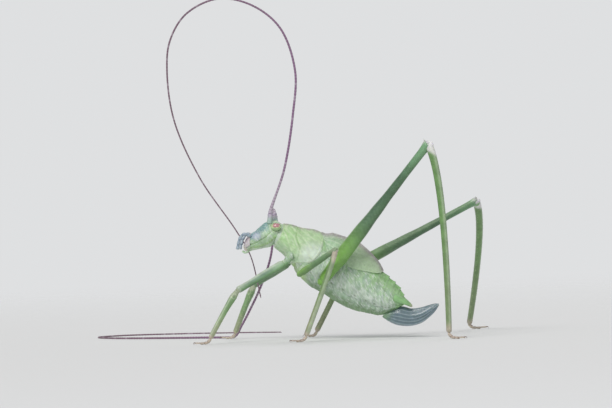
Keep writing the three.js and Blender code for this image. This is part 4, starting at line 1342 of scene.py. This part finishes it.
    def tibia(self) -> Shape:
        """The shin with its ridges and spines and, on the front legs, the ear slits."""
        form, knee = self.form, self.joints[1]
        length, down, bow = self.shin
        t = np.linspace(0.0, 1.0, self.steps)
        ends = dome(t * length, 0.30, 0.97, 0.05) * dome((1 - t) * length, 0.20, 0.97, 0.05)
        shape = ends * (1 - 0.20 * bell(t * length - 0.48, 0.14))
        depth, width = table_at(form.tibia, t).T * 0.97 * shape
        rings, facing = swept(self.shin_path(t), depth, width, bow, self.sides, 0.85)
        t = t[:, None]
        below = (2 * self.bow_height * t * (1 - t) + t**2) * length
        spot = np.hypot((below - 1.65) / 0.22, (facing - 0.1) / 0.5)
        from_ear = (t - form.ear_at) * length
        slit = bell(facing, 0.34) * bell(from_ear, 0.26) * (form.ear_at > 0)
        rim = bell(np.hypot(facing / 0.5, from_ear / 0.42) - 1, 0.22) * (form.ear_at > 0)
        low, middle, high = form.tibia_tints
        tint = layered(facing.shape, low, (
            (middle, smooth(0.04, 0.22, t)),
            (high, smooth(0.55, 0.95, t)),
            ((0.50, 0.58, 0.44), smooth(0.10, 0.75, facing) * 0.45),
            (form.shin_root, (1 - smooth(0.7, 1.3, below - 0.45 * facing)) * 0.85),
            ((0.10, 0.22, 0.08), bell(spot, 0.8) * 0.6 * form.pointed_knee),
            ((0.55, 0.42, 0.38), smooth(0.955, 0.99, t) * 0.6),
            ((0.10, 0.16, 0.08), slit * 0.35),
            ((0.60, 0.68, 0.48), rim * 0.4)))
        height = 0.02 * bell(np.abs(facing) - 0.72, 0.08) - 0.05 * slit + 0.025 * rim
        parts = [rings.pushed(height).shape(tint), *self._spines()]
        if form.pointed_knee:
            axes = np.stack([np.cross(down, bow), bow, down])
            cap = ball(knee + bow * 0.17 + down * 0.20, (0.27, 0.38, 0.46), axes, 24, 28)
            parts.append(cap.painted(form.shin_root))
        return joined(parts)

    def _spines(self) -> list[Shape]:
        """Rows of small spines under the shin, and over it on the hind legs."""
        form, bow = self.form, self.shin[2]
        t = np.linspace(0.16, 0.93, form.spines)
        path = self.shin_path(t)
        ahead = unit(np.gradient(path, axis=0))
        deep = unit(bow - (ahead @ bow)[:, None] * ahead)
        wide = np.cross(ahead, deep)
        half = table_at(form.tibia, t) * 0.88 / 2
        spines = []
        for up in (-0.78, 0.78) if form.crest_spines else (-0.78,):
            for out in (0.62, -0.62):
                for i in range(form.spines):
                    foot = path[i] + deep[i] * up * half[i, 0] + wide[i] * out * half[i, 1]
                    lean = unit(deep[i] * up + wide[i] * out) + ahead[i] * 0.85
                    size = form.spine_length * (0.85 + 0.3 * ((i * 7) % 5) / 5)
                    spines.append(spike(foot, lean, size, 0.034, (0.56, 0.60, 0.40)))
        return spines

    def foot(self) -> tuple[Shape, Shape]:
        """The foot's four pads on the floor, and its two claws."""
        toe, up = unit(np.array([*self.toe, 0.0])), np.array([0, 0, 1.0])
        side, ahead = np.cross(up, toe), toe * self.form.foot
        base = self.joints[2] * (1, 1, 0)
        t = np.linspace(0, 1, 18)
        form = np.sqrt(np.clip(1 - (2 * t - 1) ** 6, 0.03, 1)) * (0.86 + 0.14 * smooth(0.2, 0.8, t))
        t = t[:, None]
        pads = []
        for (start, rise), (end, fall), deep, wide in self.PADS:
            first, last = base + ahead * start + up * rise, base + ahead * end + up * fall
            rings, facing = swept(first + t * (last - first), deep * form, wide * form, up, 22)
            rings.points[..., 2] = np.maximum(rings.points[..., 2], 0.0)
            pads.append(rings.shape(layered(facing.shape, (0.50, 0.42, 0.36), (
                ((0.62, 0.58, 0.46), smooth(-0.2, -0.9, facing) * 0.7),
                ((0.24, 0.15, 0.13), bell(t - 1, 0.12) * 0.6)))))
        claws = []
        size = np.linspace(0.10, 0.012, 20)
        for sign in (1, -1):
            route = [base + ahead * a + side * b * sign + up * z for a, b, z in self.CLAW]
            path, _ = evenly(route_through(route, 10), 20)
            claws.append(swept(path, size, size, toe, 10)[0].shape((0.17, 0.10, 0.08)))
        return joined(pads), joined(claws)


LEGS = (
    Leg("fore_left", FORE, (1.95, -2.10, 8.35), (5.00, -6.97, 5.62), (7.50, -9.84, 0.60), (0.25, -1)),
    Leg("fore_right", FORE, (-1.95, -2.10, 8.35), (-6.00, -6.27, 5.90), (-8.40, -8.80, 0.60), (-0.35, -1)),
    Leg("mid_left", MIDDLE, (2.30, -0.76, 7.05), (6.00, 3.55, 9.65), (6.60, 0.20, 0.60), (0.55, -1)),
    Leg("mid_right", MIDDLE, (-2.30, -0.50, 7.05), (-5.70, 4.00, 8.20), (-8.70, 0.00, 0.60), (-0.80, -1)),
    Leg("hind_left", HIND, (2.70, 1.55, 6.05), (4.64, 13.50, 20.52), (7.40, 15.35, 0.60), (0.75, 1)),
    Leg("hind_right", HIND, (-2.70, 1.75, 6.10), (-8.60, 17.60, 14.24), (-23.0, 15.70, 0.60), (-0.60, 1)),
)


def build_legs(cabinet: Cabinet) -> None:
    """Builds thighs, shins, feet and claws.

    Args:
        cabinet: what shows the pieces.
    """
    claws = []
    for leg in LEGS:
        cabinet.show(f"thigh_{leg.name}", leg.femur(), LEG, "femur", f"{leg.name}_femur")
        cabinet.show(f"shin_{leg.name}", leg.tibia(), LEG, "tibia", f"{leg.name}_tibia")
        pads, hooks = leg.foot()
        cabinet.show(f"foot_{leg.name}", pads, FOOT, "foot", f"{leg.name}_tarsus")
        claws.append(hooks)
    cabinet.show("claws", joined(claws), FOOT, "foot")


# ---------------------------------------------------------------- stage


@dataclass
class Studio:
    """A pale floor that melts into a pale surround, soft lights, and the camera."""

    cabinet: Cabinet
    surround: Colour = (0.80, 0.81, 0.82)
    paper: Colour = (0.86, 0.865, 0.87)
    aim: Point = (0.0, 0.0, 14.47)
    azimuth: float = 95.0
    elevation: float = 0.5
    roll: float = 1.5
    distance: float = 600.0
    lens: float = 331.8
    sensor: float = 36.0
    floor_radius: float = 460.0
    fade_start: float = 40.0
    fade_end: float = 300.0
    backdrop: float = 0.92
    ambient: float = 0.42

    def floor(self) -> None:
        """A large disc whose far parts fade away."""
        bpy.ops.mesh.primitive_circle_add(vertices=96, radius=self.floor_radius * MM, fill_type="NGON")
        disc = bpy.context.object
        disc.name = "floor"
        disc.location = (self.cabinet.origin.x, self.cabinet.origin.y, 0)
        made = bpy.data.materials.new("pale_floor")
        made.use_nodes = True
        graph = Graph(made.node_tree)
        surface = made.node_tree.nodes["Principled BSDF"]
        graph.fill(surface, {"Base Color": self.paper, "Roughness": 0.75})
        reach = graph.add("VectorMath", {0: graph.place}, operation="LENGTH").outputs["Value"]
        fade = graph.remap(reach, self.fade_start * MM, self.fade_end * MM, 0.0, 1.0)
        clear = graph.add("BsdfTransparent", {}).outputs["BSDF"]
        graph.mixed_shaders(fade, surface.outputs["BSDF"], clear, "Material Output")
        disc.data.materials.append(made)

    def lamp(self, name: str, towards: Point, spread: float, strength: float, tint: Colour) -> None:
        """A soft light from far away, so that the floor is lit evenly.

        Args:
            name: its name.
            towards: the direction from the animal to the light.
            spread: how many degrees wide it looks.
            strength: watts on each square metre.
            tint: its colour.
        """
        light = bpy.data.lights.new(name, "SUN")
        light.energy = strength
        light.angle = math.radians(spread)
        light.color = tint
        holder = bpy.data.objects.new(name, light)
        holder.rotation_euler = Vector(towards).to_track_quat("Z", "Y").to_euler()
        bpy.context.scene.collection.objects.link(holder)

    def camera(self) -> None:
        """The camera at the viewing angle, a long lens far away."""
        az, el, tip = (math.radians(a) for a in (self.azimuth, self.elevation, self.roll))
        away = Vector((math.sin(az) * math.cos(el), -math.cos(az) * math.cos(el), math.sin(el)))
        lens = bpy.data.cameras.new("camera")
        lens.lens = self.lens
        lens.sensor_width = self.sensor
        lens.clip_start = 0.01
        lens.clip_end = 10.0
        holder = bpy.data.objects.new("camera", lens)
        turn = (-away).to_track_quat("-Z", "Y").to_matrix().to_4x4() @ Matrix.Rotation(-tip, 4, "Z")
        eye = self.cabinet.place(self.aim) + away * self.distance * MM
        holder.matrix_world = Matrix.Translation(eye) @ turn
        bpy.context.scene.collection.objects.link(holder)
        bpy.context.scene.camera = holder

    def shine(self) -> None:
        """A pale surround that lights the animal more softly than it looks."""
        world = bpy.data.worlds.new("surround")
        world.use_nodes = True
        graph = Graph(world.node_tree)
        seen = world.node_tree.nodes["Background"]
        graph.fill(seen, {"Color": self.surround, "Strength": self.backdrop})
        felt = graph.add("Background", {"Color": self.surround, "Strength": self.ambient})
        direct = graph.add("LightPath", {}).outputs["Is Camera Ray"]
        graph.mixed_shaders(direct, felt.outputs["Background"], seen.outputs["Background"], "World Output")
        bpy.context.scene.world = world

    def build(self) -> None:
        """Sets the floor, the surround, the lights and the camera."""
        self.floor()
        self.shine()
        self.lamp("key", (1.0, -0.35, 0.95), 28, 1.75, (1.0, 0.985, 0.96))
        self.lamp("fill", (1.0, 0.6, 0.25), 50, 0.25, (0.94, 0.97, 1.0))
        self.lamp("rim", (-0.9, 0.3, 0.9), 30, 0.45, (1.0, 1.0, 1.0))
        self.camera()
        view = bpy.context.scene.view_settings
        view.view_transform = "Standard"
        view.look = "None"


def corners(bounds: object) -> list:
    """Bounds as plain nested lists of numbers."""
    return [[float(v) for v in row] for row in bounds]


def main() -> None:
    """Builds the animal from head to claws, then the stage."""
    logging.basicConfig(level=logging.INFO, format="%(name)s %(message)s", force=True)
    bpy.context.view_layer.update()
    cabinet = Cabinet.from_frame()
    log.info("datum at %s", tuple(round(v, 6) for v in cabinet.origin))
    Body(cabinet).build([leg.coxa() for leg in LEGS])
    HeadParts(cabinet).build()
    Feelers(cabinet).build()
    Tail(cabinet).build()
    build_legs(cabinet)
    Studio(cabinet).build()
    log.info("%d pieces with %d faces", len(cabinet.shown), sum(cabinet.shown.values()))


if __name__ == "__main__":
    main()
